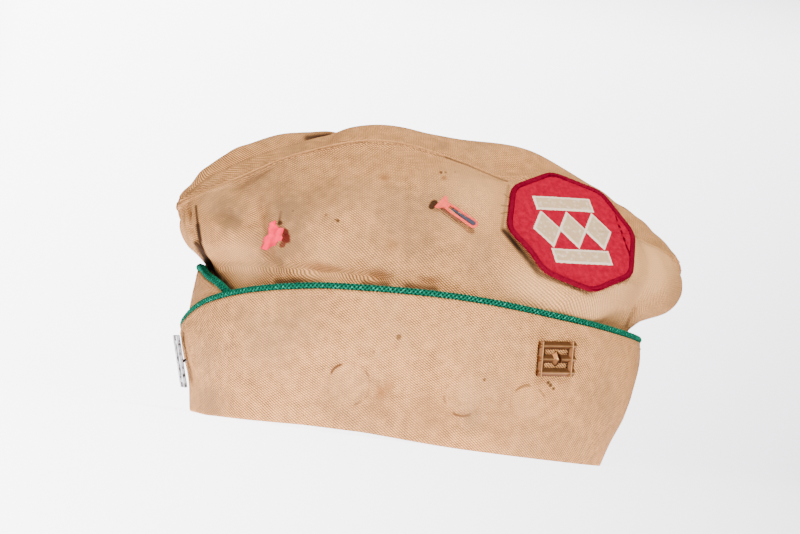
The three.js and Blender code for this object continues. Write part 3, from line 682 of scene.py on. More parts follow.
# height, then how far the curtain stands out there at the front, the rear and the side
curtain_sections = [
    (0.00, 0.00, 0.00, 0.00),
    (0.20, 0.20, 0.38, 0.12),
    (0.40, 0.60, 0.85, 0.24),
    (0.60, 0.88, 1.12, 0.36),
    (0.80, 0.86, 1.24, 0.44),
    (1.00, 0.76, 1.06, 0.48),
]
left_edge = [
    (-0.29, 0.24), (-0.18, 0.40), (-0.08, 0.54), (0.02, 0.66), (0.10, 0.78), (0.20, 0.885),
    (0.32, 0.97), (0.50, 1.012), (0.66, 0.98), (0.84, 0.94), (1.00, 0.93),
]
right_edge = [
    (-0.29, 0.50), (-0.22, 0.66), (-0.17, 0.783), (-0.13, 0.874), (-0.10, 0.924), (-0.06, 0.968),
    (-0.02, 1.018), (0.08, 1.045), (0.20, 1.03), (0.50, 1.00), (0.66, 0.98), (0.84, 0.94), (1.00, 0.93),
]


def edge_height(edge, turn):
    turns, heights = np.array(edge).T
    place = np.interp(turn / math.pi, turns, np.arange(len(turns)))
    return curtain_height * between(heights, place)


def curtain_points(turn, height, side, lift):
    """Points of the curtain's inner face moved out by lift; turn is negative past the front."""
    share = height / curtain_height
    place = share * (len(curtain_sections) - 1)
    lean = between([row[1:] for row in curtain_sections], place) * curtain_flare
    front = crown_front - gap - lift - lean[..., 0]
    rear = crown_rear + gap + lift + lean[..., 1]
    half = crown_half + gap + lift + lean[..., 2]
    own = np.where(turn < 0, -side, side)
    x, y = oval(front, rear, half, crown_sections[0][6], np.abs(turn), own)
    near_front = (turn >= 0) & (turn <= math.pi / 2)
    y = np.where(near_front, y - side * (gap / 2) * np.cos(turn), y)
    return np.stack(np.broadcast_arrays(x, y, height), -1)


def overlap_rise(turn, side):
    past = np.clip((turn - overlap_angle) / 0.7, 0, 1)
    return (side < 0) * overlap_lift * (0.5 + 0.5 * np.cos(math.pi * past))


def curtain(name, side, edge, rows, columns, seed):
    start = -overlap_angle + np.array((0.004, 0.010, 0.018)) * 0.6
    turn = np.concatenate(([-overlap_angle], start, np.linspace(start[-1], math.pi, columns)[1:]))
    up = np.linspace(0, 1, rows + 1)[:, None]
    height = up * edge_height(edge, turn)
    rise = overlap_rise(turn, side)
    middle = curtain_points(turn, height, side, curtain_wall / 2 + rise)
    normals = normals_of(middle, np.array((0, 0, curtain_height / 2)))
    from_ends = np.minimum(lengths_along(middle, 1) - lengths_along(middle, 1)[:, :1], 9)
    fade = np.clip(height / 14, 0, 1) * np.clip(from_ends / 8, 0, 1) * np.clip((1 - up) * 7, 0.15, 1)
    middle = middle + normals * (rumple(middle, seed, 110, 6, 22, 0.035) * fade)[..., None]
    round_end = np.sqrt(1 - np.clip(1 - from_ends, 0, 1) ** 2)
    half = curtain_wall / 2 * np.maximum(round_end, 0.15)[..., None]
    outer = middle + normals * half
    inner = middle - normals * half
    outer[0, :, 2] = 0
    inner[0, :, 2] = 0
    outer[..., 2] += rim_rise(outer)
    inner[..., 2] += rim_rise(inner)
    made = cloth_sheet(name, outer, inner)
    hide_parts(name.replace("band", "curtain"))
    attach(made, "root")
    return made


band_left = curtain("band_left", -1, left_edge, 44, 300, 8)
band_right = curtain("band_right", 1, right_edge, 36, 240, 9)
band_stains_and_painted_shade = [
    # Dark patches of painted shade on the band.
    ("painted_shade", (-105.7, -50.0, 29.8), 11.7, 0.50),
    ("painted_shade", (-101.1, -50.0, 6.4), 11.7, 0.65),
    ("painted_shade", (-69.5, -82.0, 51.9), 14.4, 0.45),
    ("painted_shade", (-49.9, -82.0, 15.6), 11.7, 0.45),
    ("painted_shade", (-32.4, -82.0, 22.4), 8.1, 0.35),
    ("painted_shade", (-30.1, -82.0, 5.9), 13.5, 0.35),
    ("painted_shade", (-8.2, -82.0, 8.7), 13.5, 0.25),
    ("painted_shade", (15.3, -82.0, 15.8), 6.3, 0.50),
    ("painted_shade", (74.5, -82.0, 30.8), 10.8, 0.30),
    ("painted_shade", (58.4, -82.0, 6.6), 16.2, 0.30),
    ("painted_shade", (-98.1, -82.0, 48.0), 7.2, 0.35),
    ("painted_shade", (-84.2, -82.0, 32.8), 16.2, 0.30),
    # Small holes, dark with painted shade inside them, and stains.
    ("shaded_nick", (50.4, -76.4, 35.6), 0.9, 0.9),
    ("shaded_nick", (51.9, -76.1, 34.6), 1.0, 0.9),
    ("shaded_nick", (53.6, -75.8, 33.3), 0.9, 0.9),
    ("shaded_nick", (18.5, -83.0, 32.9), 0.8, 0.7),
    ("stain", (-24.8, -82.5, 24.4), 3.0, 0.8),
    ("stain", (-28.4, -81.6, 21.2), 3.2, 0.9),
    ("shaded_nick", (-23.7, -84.6, 46.9), 1.5, 0.7),
    ("shaded_nick", (-33.7, -82.5, 38.7), 0.7, 0.4),
    ("stain", (-2.1, -82.9, 14.1), 14.0, 0.35),
    ("stain", (-28.2, -81.4, 16.0), 9.0, 0.35),
    ("stain", (30.0, -80.0, 12.0), 12.0, 0.25),
]
# where coins or badges once pressed: middle, radius, and the dark strokes left round each
ghost_discs = [
    ((-42.5, -78.8, 22.9), 9.4, [
        ((-49.3, -77.5, 29.3), 3.2, 0.9), ((-53, -76.5, 18.8), 1.6, 0.6), ((-35, -80, 28.5), 1.4, 0.6),
        ((-33, -80.3, 17.3), 1.4, 0.7), ((-37.2, -79.8, 14.0), 1.5, 0.6)]),
    ((9.6, -83.5, 23.9), 8.6, [
        ((10.2, -83.4, 15.4), 4.0, 0.9), ((1.2, -83.9, 21.4), 1.6, 0.4)]),
    ((41.9, -77.8, 24.7), 8.4, [
        ((37.9, -78.5, 32.1), 3.6, 0.6), ((48.0, -76.8, 30.5), 2.0, 0.5)]),
]
band_left.data.materials.append(twill("band_left", 0.95, band_stains_and_painted_shade, ghost_discs))
band_right.data.materials.append(twill("band_right", -0.95, []))

# Piping. A green braided cord sewn along the upper edge of each curtain.


def spread(route, at, run):
    """Points, or other rows of three numbers, at distances along a route."""
    return np.stack([np.interp(at, run, route[:, axis]) for axis in range(3)], -1)


def run_of(route):
    """Distance of each point along a route."""
    return np.concatenate(([0], np.cumsum(np.linalg.norm(np.diff(route, axis=0), axis=-1))))


def square_to(route):
    """Directions square to a route at each of its points: level ones, and ones over them."""
    ahead = np.gradient(route, axis=0)
    ahead /= np.linalg.norm(ahead, axis=-1, keepdims=True)
    across = np.cross(ahead, (0.0, 0.0, 1.0))
    across /= np.maximum(np.linalg.norm(across, axis=-1, keepdims=True), 1e-9)
    return across, np.cross(across, ahead)


def tube(route, radius, sides, closed_ends=True):
    """Points and faces of a tube round a route, one radius for all its points or one each."""
    route = np.asarray(route, float)
    radius = np.broadcast_to(radius, len(route))
    across, over = square_to(route)
    angle = np.linspace(0, 2 * math.pi, sides, endpoint=False)
    ring = np.cos(angle)[None, :, None] * across[:, None] + np.sin(angle)[None, :, None] * over[:, None]
    points = (route[:, None] + ring * radius[:, None, None]).reshape(-1, 3)
    index = np.arange(len(points)).reshape(len(route), sides)
    turned = np.roll(index, -1, axis=1)
    faces = np.stack((index[:-1], turned[:-1], turned[1:], index[1:]), -1).reshape(-1, 4).tolist()
    if closed_ends:
        faces.append(index[0, ::-1].tolist())
        faces.append(index[-1].tolist())
    return points, faces


def joined_mesh(name, parts, smooth=True, shades=None):
    """One object of several (points, faces), in mm from the middle of the rim. Shades are numbers
    for its points, kept as the first UV number for its material."""
    points = []
    faces = []
    for more, shape in parts:
        start = len(points)
        points.extend(((np.asarray(more) + rim_middle) / 1000).tolist())
        faces.extend([[corner + start for corner in face] for face in shape])
    made = new_object(name, points, faces, smooth)
    if shades is not None:
        keep_flat(made, "shade", np.stack((shades, np.zeros(len(shades))), -1))
    return made


def piping(name, side, edge):
    turn = np.linspace(-overlap_angle, math.pi - gap / crown_half, 500)
    lift = curtain_wall / 2 + overlap_rise(turn, side)
    route = curtain_points(turn, edge_height(edge, turn), side, lift)
    route[:, 2] += gap + piping_width / 2
    run = run_of(route)
    even = np.linspace(0, run[-1], int(run[-1] / 0.75))
    route = spread(route, even, run)
    across, over = square_to(route)
    thick = 1.2 if side > 0 else 1.05
    parts = [tube(route, piping_width / 2 * 0.66 * thick, 8)]
    for way in (-1, 1):
        for strand in range(4):
            angle = way * (2 * math.pi * even / 7.6 + strand * math.pi / 2)
            weave = 0.16 * np.cos(4 * angle)
            reach = (piping_width / 2 - 0.36 + way * weave) * thick
            ring = np.cos(angle)[:, None] * across + np.sin(angle)[:, None] * over
            parts.append(tube(route + ring * reach[:, None], 0.44 * thick, 6))
    points = np.concatenate([more for more, _ in parts])
    count = len(route)
    nearest = np.concatenate([np.repeat(np.arange(count), len(more) // count) for more, _ in parts])
    # How far each point stands out from the cord's middle, kept as the shade the braid paints: low
    # points dark, high points lit.
    lift_out = np.linalg.norm(points - route[nearest], axis=-1)
    made = joined_mesh(name, parts, shades=np.clip((lift_out / thick - 1.02) / 0.5, 0, 1))
    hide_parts(name.replace("cord", "piping"))
    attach(made, "root")
    return made


cord_left = piping("cord_left", -1, left_edge)
cord_right = piping("cord_right", 1, right_edge)


def braid_material():
    """Green cord with painted light: a painted highlight on top of each strand, painted shade nearly
    black between them, and paler painted highlights in places.
    """
    made, shader, where, flat = material("braid")
    crest = flat.part(0)
    base = where.plain((0.001, 0.010, 0.006))
    bright = where.plain((0.002, 0.115, 0.060))
    pale = where.plain((0.020, 0.33, 0.21))
    # Painted shade between the strands turning to a painted highlight on their crests, and paler painted
    # highlights on some crests.
    colour = base.mix(bright, crest.step(0.40, 0.95))
    colour = colour.mix(pale, where.noise(700, 3).step(0.50, 0.60) * crest.step(0.7, 1.0) * 0.9)
    colour = colour.times(0.7 + where.noise(2400, 2) * 0.6)
    finish_material(shader, colour, 0.8, where.noise(3000, 2), 0.1)
    shader.inputs["Specular IOR Level"].default_value = 0.06
    return made


braid = braid_material()
cord_left.data.materials.append(braid)
cord_right.data.materials.append(braid)

# Seams of the top. A narrow roll of turned cloth stands along each, with a row of stitches below
# it in thread of the cloth's own colour.


def stitches(route, out, length, space, radius):
    """A row of stitches along a route, each sunk into the cloth at its ends."""
    run = run_of(route)
    parts = []
    for start in np.arange(space, run[-1] - length, length + space):
        share = np.linspace(0, 1, 5)
        line = spread(route, start + length * share, run)
        rise = radius * (np.sin(math.pi * share) ** 0.6 * 1.3 - 0.5)
        line = line + spread(out, start + length * share, run) * rise[:, None]
        parts.append(tube(line, radius * (0.6 + 0.4 * np.sin(math.pi * share)), 5))
    return parts


def row_below(skin, distance):
    """Points on a crown side at a distance below its top seam."""
    down = skin[::-1]
    far = np.cumsum(np.linalg.norm(np.diff(down, axis=0), axis=-1), axis=0)
    return np.array([spread(down[1:, k], distance, far[:, k]) for k in range(skin.shape[1])])


def seam_thread(name, side, skin):
    angle = np.linspace(0.14, math.pi - 0.20, 420)
    route = seam(angle, side)
    route[:, 1] += side * 0.1
    route[:, 2] += 0.1
    beat = 0.42 + 0.07 * np.sin(np.arange(420) * 1.1)
    parts = [tube(route, beat, 7)]
    line = row_below(skin, 2.6)[6:-6]
    out = line - np.array((0, 0, crown_height * 0.6))
    out /= np.linalg.norm(out, axis=-1, keepdims=True)
    parts += stitches(line, out, 2.1, 0.9, 0.24)
    made = joined_mesh(name, parts)
    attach(made, "root")
    return made


roll_left = seam_thread("roll_left", -1, left_skin)
roll_right = seam_thread("roll_right", 1, right_skin)


def thread_material(name, tone, grain):
    """Matt sewing thread or worn cloth edge, mottled at a given number of spots a metre."""
    made, shader, where, flat = material(name)
    base = where.plain(tone)
    colour = base.times(0.75 + where.noise(grain, 3) * 0.5)
    finish_material(shader, colour, 0.9, where.noise(grain * 3, 2), 0.1)
    shader.inputs["Specular IOR Level"].default_value = 0.05
    return made


pale_thread = thread_material("pale_thread", (0.62, 0.295, 0.105), 900)
roll_left.data.materials.append(pale_thread)
roll_right.data.materials.append(pale_thread)

# Stitching of the curtain. A row of stitches runs just below the piping of each band.


def band_stitches(name, side, edge):
    turn = np.linspace(-overlap_angle + 0.03, math.pi - 0.03, 500)
    lift = curtain_wall + overlap_rise(turn, side) + 0.05
    height = edge_height(edge, turn) - 2.6
    route = curtain_points(turn, height, side, lift)
    out = curtain_points(turn, height, side, lift + 1) - route
    parts = stitches(route, out, 1.9, 0.8, 0.2)
    made = joined_mesh(name, parts)
    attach(made, "root")
    made.data.materials.append(pale_thread)


band_stitches("stitch_left", -1, left_edge)
band_stitches("stitch_right", 1, right_edge)

# Patch. An octagon of close embroidery with a wound border, sewn across the left seam. Its field
# carries a plain design of three lozenges between two bars.
patch_across = 65.2
bar_half_length = 15
bar_half_width = 3.2
bar_height = 15.5
lozenge_pitch = 14
lozenge_half_width = 6.6
lozenge_half_height = 9.5
lozenge_depth = 5.4


def skin_of(*objects):
    """The surfaces of some objects in mm from the middle of the rim, to lay others on."""
    points = []
    faces = []
    for made in objects:
        start = len(points)
        points.extend(tuple(np.array(vertex.co) * 1000 - rim_middle) for vertex in made.data.vertices)
        faces.extend([start + corner for corner in face.vertices] for face in made.data.polygons)
    return BVHTree.FromPolygons(points, faces)


def touch(skin, start, direction):
    """Where a ray first meets a skin, or nan where it misses."""
    met = skin.ray_cast(Vector(start), Vector(direction))[0]
    return np.full(3, np.nan) if met is None else np.array(met)


def side_frame(skin, place, height, reach):
    """Middle, right, up and outward of a level frame on the left side; place is (along, up, turn)."""
    x = front_peak + crown_length * place[0]
    z = height * place[1]
    middle = touch(skin, (x, -160, z), (0, 1, 0))
    along = touch(skin, (x + reach, -160, z), (0, 1, 0)) - touch(skin, (x - reach, -160, z), (0, 1, 0))
    up = touch(skin, (x, -160, z + reach), (0, 1, 0)) - touch(skin, (x, -160, z - reach), (0, 1, 0))
    along /= np.linalg.norm(along)
    out = np.cross(along, up)
    out /= np.linalg.norm(out)
    right = along * math.cos(place[2]) + np.cross(out, along) * math.sin(place[2])
    return middle, right, np.cross(out, right), out


class Bed:
    """Heights of the cloth under a stiff flat piece, smoothed, over a square about its frame."""

    def __init__(self, skin, place, reach, count, passes):
        middle, right, up, out = place
        self.place = place
        self.reach = reach
        steps = np.linspace(-reach, reach, count)
        starts = [[middle + right * u + up * v + out * 60 for u in steps] for v in steps]
        heights = [[(touch(skin, start, -out) - middle) @ out for start in row] for row in starts]
        self.heights = np.array(heights)
        for row in self.heights:
            met = np.flatnonzero(np.isfinite(row))
            if len(met):
                row[:] = np.interp(np.arange(count), met, row[met])
        for column in self.heights.T:
            met = np.flatnonzero(np.isfinite(column))
            column[:] = np.interp(np.arange(count), met, column[met])
        for _ in range(passes):
            wide = np.pad(self.heights, 1, mode="edge")
            near = wide[:-2, 1:-1] + wide[2:, 1:-1] + wide[1:-1, :-2] + wide[1:-1, 2:]
            self.heights = (self.heights * 2 + near) / 6

    def flatten(self, bend):
        """Swaps the heights for one gentle curve through the middle, and keeps the change."""
        steps = np.linspace(-self.reach, self.reach, len(self.heights))
        u, v = np.meshgrid(steps, steps)
        smooth = -bend * (u * u + v * v)
        self.change = np.clip(smooth - self.heights, -12, 14)
        self.heights = smooth

    def pull(self, made, reach, fall):
        """Moves a cloth piece's points near the bed onto its gentle curve, fading out past reach."""
        middle, right, up, out = self.place
        count = len(made.data.vertices)
        points = np.empty(count * 3)
        made.data.vertices.foreach_get("co", points)
        points = points.reshape(-1, 3) * 1000 - rim_middle
        u, v, high = ((points - middle) @ axis for axis in (right, up, out))
        last = len(self.heights) - 1
        i = np.clip(np.round((u + self.reach) / (2 * self.reach) * last), 0, last).astype(int)
        j = np.clip(np.round((v + self.reach) / (2 * self.reach) * last), 0, last).astype(int)
        close = np.abs(high - self.heights[j, i] + self.change[j, i]) < 8
        fade = np.clip((reach + fall - np.hypot(u, v)) / fall, 0, 1) * close
        fade = fade * fade * (3 - 2 * fade)
        points += out * (self.change[j, i] * fade)[:, None]
        made.data.vertices.foreach_set("co", ((points + rim_middle) / 1000).reshape(-1))
        made.data.update()

    def points(self, u, v, lift):
        """Points above the bed at places u and v in the frame."""
        last = len(self.heights) - 1
        a = np.clip((u + self.reach) / (2 * self.reach) * last, 0, last - 1e-6)
        b = np.clip((v + self.reach) / (2 * self.reach) * last, 0, last - 1e-6)
        i, j = a.astype(int), b.astype(int)
        a, b = a - i, b - j
        low = self.heights[j, i] * (1 - a) + self.heights[j, i + 1] * a
        high = self.heights[j + 1, i] * (1 - a) + self.heights[j + 1, i + 1] * a
        middle, right, up, out = self.place
        height = low * (1 - b) + high * b + lift
        return middle + u[..., None] * right + v[..., None] * up + height[..., None] * out


def octagon(angle):
    """Reach of the patch's edge from its middle; its corners are a little rounded."""
    from_flat = angle % (math.pi / 4) - math.pi / 8
    return patch_across / 2 / np.cos(from_flat) - 1.1 * (np.abs(from_flat) / (math.pi / 8)) ** 8


def motif(u, v):
    """How far inside the design a point of the patch lies, in mm, negative outside it."""
    bars = np.minimum(bar_half_length - np.abs(u), bar_half_width - np.abs(np.abs(v) - bar_height))
    beside = np.abs(u - lozenge_pitch * np.clip(np.round(u / lozenge_pitch), -1, 1))
    share = beside / lozenge_half_width + np.abs(v) / lozenge_half_height
    return np.maximum(bars, lozenge_depth * (1 - share))


def curl(u, v):
    """How far the worn lower left of the patch's edge stands off the cloth."""
    return 2.2 * np.exp(-((u + 29) ** 2 + (v + 16) ** 2) / 140)


def patch_sheet(bed):
    spokes = 256
    angle = np.linspace(0, 2 * math.pi, spokes + 1)
    share = np.concatenate((np.linspace(0, 0.9, 40), np.linspace(0.91, 1, 8)))[:, None]
    reach = share * octagon(angle)
    u, v = reach * np.cos(angle), reach * np.sin(angle)
    from_edge = (1 - share) * octagon(angle)
    raised = 0.35 * np.clip(motif(u, v) + 0.9, 0, 1)
    border = np.sqrt(np.clip(1 - ((from_edge - 1.0) / 1.1) ** 2, 0, 1))
    top = bed.points(u, v, 1.7 + raised * (from_edge > 3) + 0.5 * border + curl(u, v))
    under = bed.points(u, v, 0.8 + curl(u, v))
    return top, under, u, v


crown_skin = skin_of(twill_left, twill_top)
patch_middle = np.array((56.93, -60.0, 107.51))
patch_out = np.array((0.1571, -0.7952, 0.5857))
patch_right = np.array((0.9570, 0.2695, 0.1092))
patch_place = (patch_middle, patch_right, np.cross(patch_out, patch_right), patch_out)
patch_bed = Bed(crown_skin, patch_place, 48, 96, 3)
patch_bed.flatten(0.0006)
for made in (twill_left, twill_top, roll_left):
    patch_bed.pull(made, 33, 14)
patch_top, patch_under, patch_u, patch_v = patch_sheet(patch_bed)


def patch_object():
    made = cloth_sheet("badge", patch_top, patch_under)
    flat = np.stack((patch_u, patch_v), -1).reshape(-1, 2) / 1000
    keep_flat(made, "cloth", np.concatenate((flat, flat)))
    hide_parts("patch")
    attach(made, "root")
    return made


def patch_border(bed):
    """Threads wound over the patch's edge."""
    angle = np.linspace(0, 2 * math.pi, 4000)
    reach = octagon(angle)
    edge = np.stack((reach * np.cos(angle), reach * np.sin(angle), angle * 0), -1)
    run = run_of(edge)
    random = np.random.default_rng(12)
    parts = []
    for start in np.arange(0, run[-1], 0.47):
        at = np.interp(start + random.uniform(-0.1, 0.1), run, angle)
        over = np.linspace(-0.25, math.pi + 0.1, 7)
        inward = 0.95 - 1.20 * np.cos(over)
        lift = 1.5 + 0.95 * np.sin(over) + random.uniform(-0.1, 0.12)
        turned = at + 0.012 * np.linspace(-1, 1, 7)
        radius = octagon(turned) - inward
        u, v = radius * np.cos(turned), radius * np.sin(turned)
        parts.append(tube(bed.points(u, v, lift + curl(u, v)), 0.27, 4, False))
    made = joined_mesh("badge_border", parts)
    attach(made, "root")
    return made


badge = patch_object()
badge_border = patch_border(patch_bed)


def embroidery():
    made, shader, where, flat = material("embroidery")
    u = flat.part(0) * 1000
    v = flat.part(1) * 1000
    wide = u.absolute()
    high = v.absolute()
    bars = (bar_half_length - wide).least(bar_half_width - (high - bar_height).absolute())
    nearest = u / lozenge_pitch
    nearest = nearest.math("ROUND", nearest).most(-1).least(1)
    beside = (u - nearest * lozenge_pitch).absolute()
    lozenges = lozenge_depth - beside * (lozenge_depth / lozenge_half_width)
    lozenges = lozenges - high * (lozenge_depth / lozenge_half_height)
    ragged = flat.noise(900, 2) * 0.7 - 0.35
    inside = bars.most(lozenges) + ragged
    red = where.plain((0.38, 0.0006, 0.022))
    cream = where.plain((0.86, 0.70, 0.52))
    white = where.plain((0.60, 0.40, 0.22))
    worn = flat.noise(420, 4)
    colour = red.times(0.45 + worn * 1.0)
    crack = u - 26.0 - worn * 3
    crack = crack.absolute().step(0.7, 0.3) * v.step(-21, -19) * v.step(13, 9)
    colour = colour.mix((0.07, 0.0005, 0.004, 1), crack * worn.step(0.40, 0.5))
    colour = colour.mix(cream, inside.step(-1.0, -0.7))
    inner = white.mix(cream, worn.step(0.5, 0.7) * 0.7)
    colour = colour.mix(inner, inside.step(0.1, 0.5))
    lines = v * (2 * math.pi / 0.62) + u * 2 + worn * 5
    thread = lines.wave()
    colour = colour.times(0.78 + thread * 0.36)
    finish_material(shader, colour, 0.85, thread * 0.6 + worn * 0.6, 0.25)
    shader.inputs["Specular IOR Level"].default_value = 0.04
    return made


badge.data.materials.append(embroidery())
badge_border.data.materials.append(thread_material("border_thread", (0.17, 0.0006, 0.014), 500))

# Metal pieces. The silver rank bars keep their solid shape; the pin and the clasp get finer ones.


def metal(name, tone, tarnish, smooth, rough, cover):
    """Worn metal: bright where worn bare, tarnished elsewhere."""
    made, shader, where, flat = material(name)
    bright = where.plain(tone)
    dark = where.plain(tarnish)
    dull = where.noise(330, 4).step(0.62 - cover, 0.78 - cover)
    colour = bright.mix(dark, dull)
    finish_material(shader, colour, smooth + dull * (rough - smooth), where.noise(1400, 3), 0.06)
    shader.inputs["Metallic"].default_value = 1.0
    return made


def repaint(node, made):
    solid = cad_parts[node]
    solid.data.materials.clear()
    solid.data.materials.append(made)


repaint("rank_bars", metal("silver", (0.26, 0.25, 0.25), (0.020, 0.015, 0.013), 0.3, 0.5, 0.18))


def prism(corners, low, high, at):
    """Points and faces of a flat plate with the given outline, from one height to another."""
    count = len(corners)
    points = [at(a, b, low) for a, b in corners] + [at(a, b, high) for a, b in corners]
    faces = [list(range(count))[::-1], list(range(count, 2 * count))]
    faces += [[k, (k + 1) % count, count + (k + 1) % count, count + k] for k in range(count)]
    return points, faces


def ridged_bar(start, end, half, tall, at):
    """Points, faces and shades of a bar with a roof-like section. The shades paint light as from the
    upper right: painted shade on the lower left face, a painted highlight on the ridge, half shade on
    the upper right face. dark, bright, middling.
    """
    start, end = np.array(start, float), np.array(end, float)
    way = (end - start) / np.linalg.norm(end - start)
    side = np.array((-way[1], way[0]))
    if side.sum() < 0:
        side = -side
    points = []
    for place in (start - way * half, end + way * half):
        for share, high in ((-1, 0.0), (-1, 0.5), (-0.1, tall), (1, 0.5), (1, 0.0)):
            points.append(at(*(place + side * share * half), high))
    faces = [[4, 3, 2, 1, 0], [5, 6, 7, 8, 9]]
    faces += [[k, (k + 1) % 5, 5 + (k + 1) % 5, 5 + k] for k in range(5)]
    return points, faces, [0.0, 0.05, 1.0, 0.45, 0.2] * 2


def openwork_pin():
    """A frame of ridged bars with a raised lozenge held in its middle."""
    skin = skin_of(band_left)
    pin_place = ((52.0 - front_peak) / crown_length, 0.712, 0.11)
    middle, right, up, out = side_frame(skin, pin_place, curtain_height, 9)

    def at(a, b, c):
        return middle + a * right + b * up + (c + 0.4) * out

    wide, tall = 8.3, 6.2
    bars = [
        ((-wide, tall), (wide, tall)), ((wide, tall), (wide, -tall)), ((wide, -tall), (-wide, -tall)),
        ((-wide, -tall), (-wide, tall)), ((-wide, 0), (-4, 0)), ((4, 0), (wide, 0)),
    ]
    parts = [ridged_bar(start, end, 1.9, 2.1, at) for start, end in bars]
    rim = [(-4.8, 0), (0, -3.8), (4.8, 0), (0, 3.8)]
    points = [at(a, b, 0) for a, b in rim] + [at(0, 0, 2.4)]
    faces = [[3, 2, 1, 0], [0, 1, 4], [1, 2, 4], [2, 3, 4], [3, 0, 4]]
    # Painted light on the lozenge as well: painted shade on its lower left faces, a painted highlight at
    # its point.
    parts.append((points, faces, [0.1, 0.1, 0.5, 0.5, 1.0]))
    shades = np.concatenate([shade for _, _, shade in parts])
    made = joined_mesh("openwork_pin", [(points, faces) for points, faces, _ in parts], False, shades)
    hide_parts("brass_pin")
    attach(made, "root")
    # Brass with painted light on its facets: dark for painted shade, middling brass for half shade, a
    # bright tone for painted highlights.
    look, shader, where, flat = material("brass")
    shade = flat.part(0)
    dark = where.plain((0.020, 0.009, 0.004))
    middling = where.plain((0.15, 0.062, 0.022))
    colour = dark.mix(middling, shade.step(0.0, 0.45)).mix((0.42, 0.22, 0.085, 1), shade.step(0.80, 1.0))
    colour = colour.times(0.65 + where.noise(500, 3) * 0.7)
    finish_material(shader, colour, 0.38, where.noise(1400, 3), 0.06)
    shader.inputs["Metallic"].default_value = 1.0
    made.data.materials.append(look)


openwork_pin()


def clasp():
    """A flared head, a wire loop with a round end, a steel tongue in it and a bent arm below."""
    out = np.array((-0.04, -0.88, 0.48))
    out /= np.linalg.norm(out)
    along = np.array((15.8, -1.6, -10.4))
    along -= out * (along @ out)
    along /= np.linalg.norm(along)
    over = np.cross(out, along)

    def at(a, b, c):
        return np.array((-0.9, -72.9, 107.4)) + a * along + b * over + c * out

    bend = np.linspace(-math.pi / 2, math.pi / 2, 13)
    loop = [(-6.5, -1.3), (-3.0, -1.7), (3.0, -1.7)]
    loop += [(8.0 + 1.8 * math.cos(angle), 1.8 * math.sin(angle)) for angle in bend]
    loop += [(3.0, 1.7), (-3.0, 1.7), (-6.5, 1.3)]
    head = [(-10.7, -4.0), (-9.9, -4.0), (-7.0, -1.6), (-5.4, -1.6), (-5.4, 1.6), (-7.0, 1.6),
            (-9.3, 4.0), (-10.1, 4.0)]
    tongue = [(-4.0, -0.3), (3.0, -0.8), (8.6, -1.0), (9.2, 0.0), (8.6, 1.0), (3.0, 0.6), (-4.0, 0.2)]
    arm = [(-8.0, -2.6), (-6.0, -3.0), (1.0, -3.0), (3.5, -2.4)]
    wire = np.array([at(a, b, -0.5) for a, b in loop])
    lower = np.array([at(a, b, -1.1) for a, b in arm])
    coral = joined_mesh("clasp", [tube(wire, 0.62, 10), prism(head, -1.2, 0.1, at)], smooth=False)
    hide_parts("pin_clasp")
    steel = joined_mesh("clasp_tongue", [prism(tongue, -0.7, -0.1, at)], smooth=False)
    brown = joined_mesh("clasp_arm", [tube(lower, 0.5, 8)])
    looks = (
        (coral, thread_material("coral_metal", (0.80, 0.085, 0.060), 900)),
        (steel, thread_material("steel", (0.050, 0.055, 0.075), 900)),
        (brown, thread_material("brown_metal", (0.16, 0.065, 0.030), 900)),
    )
    for made, look in looks:
        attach(made, "root")
        made.data.materials.append(look)


clasp()

# Scrap of torn lining that pokes out of a hole in the left side, crumpled and frayed.


def scrap_sheet():
    skin = skin_of(twill_left)
    bed = Bed(skin, side_frame(skin, (0.1655, 0.580, -0.45), crown_height, 7), 11, 24, 4)
    angle = np.linspace(0, 2 * math.pi, 97)
    share = np.linspace(0, 1, 18)[:, None]
    ragged = 1 + 0.16 * np.sin(3 * angle + 0.6) + 0.10 * np.sin(7 * angle) + 0.05 * np.sin(17 * angle)
    reach = share * ragged * np.hypot(3.3 * np.cos(angle), 6.4 * np.sin(angle))
    u, v = reach * np.cos(angle), reach * np.sin(angle)
    u = u - 0.05 * v * v * 0.5
    crumple = 0.7 * np.sin(1.3 * u + 0.4 * v) + 0.5 * np.sin(0.9 * v - 0.7 * u + 1)
    crumple = crumple + 0.3 * np.sin(2.3 * u)
    lift = 1.7 + crumple * share + 0.5 * share
    made = cloth_sheet("torn_scrap", bed.points(u, v, lift), bed.points(u, v, lift - 0.5))
    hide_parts("lining_scrap")
    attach(made, "root")
    made.data.materials.append(thread_material("torn_lining", (0.86, 0.014, 0.062), 400))


scrap_sheet()

# Floor and backdrop: one pale sweep, lit softly from the upper left, with most of its brightness painted
# light: a glow of the paper itself.
eye_away = 1100
eye_height = 15


def sweep():
    depths = [-1.6, -1.0, -0.4, 0.2, 0.8, 1.4]
    heights = [0.0] * len(depths)
    radius = 1.2
    for step in range(1, 17):
        angle = step / 16 * math.pi / 2
        depths.append(1.4 + radius * math.sin(angle))
        heights.append(radius - radius * math.cos(angle))
    depths.append(1.4 + radius)
    heights.append(4.0)
    wide = 3.0
    points = [(x, depth, height) for depth, height in zip(depths, heights) for x in (-wide, wide)]
    faces = [[2 * k, 2 * k + 1, 2 * k + 3, 2 * k + 2] for k in range(len(depths) - 1)]
    made = new_object("sweep", points, faces)
    return made


floor = sweep()


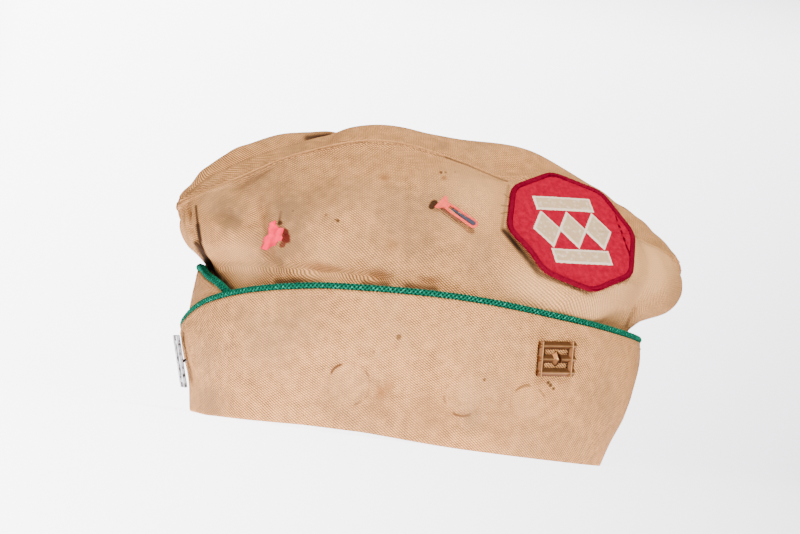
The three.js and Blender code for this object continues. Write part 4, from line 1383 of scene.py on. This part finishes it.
def paper():
    """Pale paper with painted light: it glows as the backdrop is lit, brighter to the left and far off,
    and only where the camera sees it.
    """
    made, shader, where, flat = material("paper")
    from_eye = where.along(view_ahead) + eye_away / 1000
    lateral = where.along(view_right) / from_eye
    rise = (where.along((0, 0, 1)) - eye_height / 1000) / from_eye
    # Painted light: the paper's own glow, stronger to the left and higher up.
    glow = 4.9 - lateral * 12 + rise * 9
    seen = lateral.absolute().step(0.26, 0.19) * rise.step(0.26, 0.17)
    white = where.plain((1.0, 0.97, 1.04))
    glowing = white.times(glow * seen)
    made.node_tree.links.new(glowing.socket, shader.inputs["Emission Color"])
    shader.inputs["Emission Strength"].default_value = 1.0
    shader.inputs["Base Color"].default_value = (0.40, 0.39, 0.40, 1)
    shader.inputs["Roughness"].default_value = 0.95
    return made


floor.data.materials.append(paper())

world = bpy.data.worlds.new("studio")
bpy.context.scene.world = world
world.use_nodes = True
world.node_tree.nodes["Background"].inputs["Color"].default_value = (0.97, 0.98, 1.0, 1)
world.node_tree.nodes["Background"].inputs["Strength"].default_value = 0.26


def area_light(name, place, target, size, power, tone):
    lamp = bpy.data.lights.new(name, "AREA")
    lamp.shape = "DISK"
    lamp.size = size
    lamp.energy = power
    lamp.color = tone
    made = bpy.data.objects.new(name, lamp)
    made.location = place
    aim = Vector(target) - Vector(place)
    made.rotation_euler = aim.to_track_quat("-Z", "Y").to_euler()
    bpy.context.collection.objects.link(made)


area_light("key", (0.22, -1.00, 1.55), (0, 0, 0.07), 0.5, 52, (1.0, 0.98, 0.96))
area_light("fill", (-0.15, -1.55, 0.35), (0, 0, 0.08), 0.8, 15, (1.0, 0.98, 0.97))

# Camera: level with the rim, looking a little from the front, and rolled as the photograph is.
eye = Vector((rim_middle - eye_away * view_ahead + (0, 0, eye_height)) / 1000)
target = Vector((rim_middle - 10 * view_right + (0, 0, 83.7)) / 1000)
lens = bpy.data.cameras.new("camera")
lens.lens = 101.0
lens.sensor_width = 36
lens.clip_start = 0.05
camera = bpy.data.objects.new("camera", lens)
camera.location = eye
camera.rotation_euler = (target - eye).to_track_quat("-Z", "Y").to_euler()
bpy.context.collection.objects.link(camera)
camera.rotation_euler.rotate_axis("Z", math.radians(7.5))
bpy.context.scene.camera = camera

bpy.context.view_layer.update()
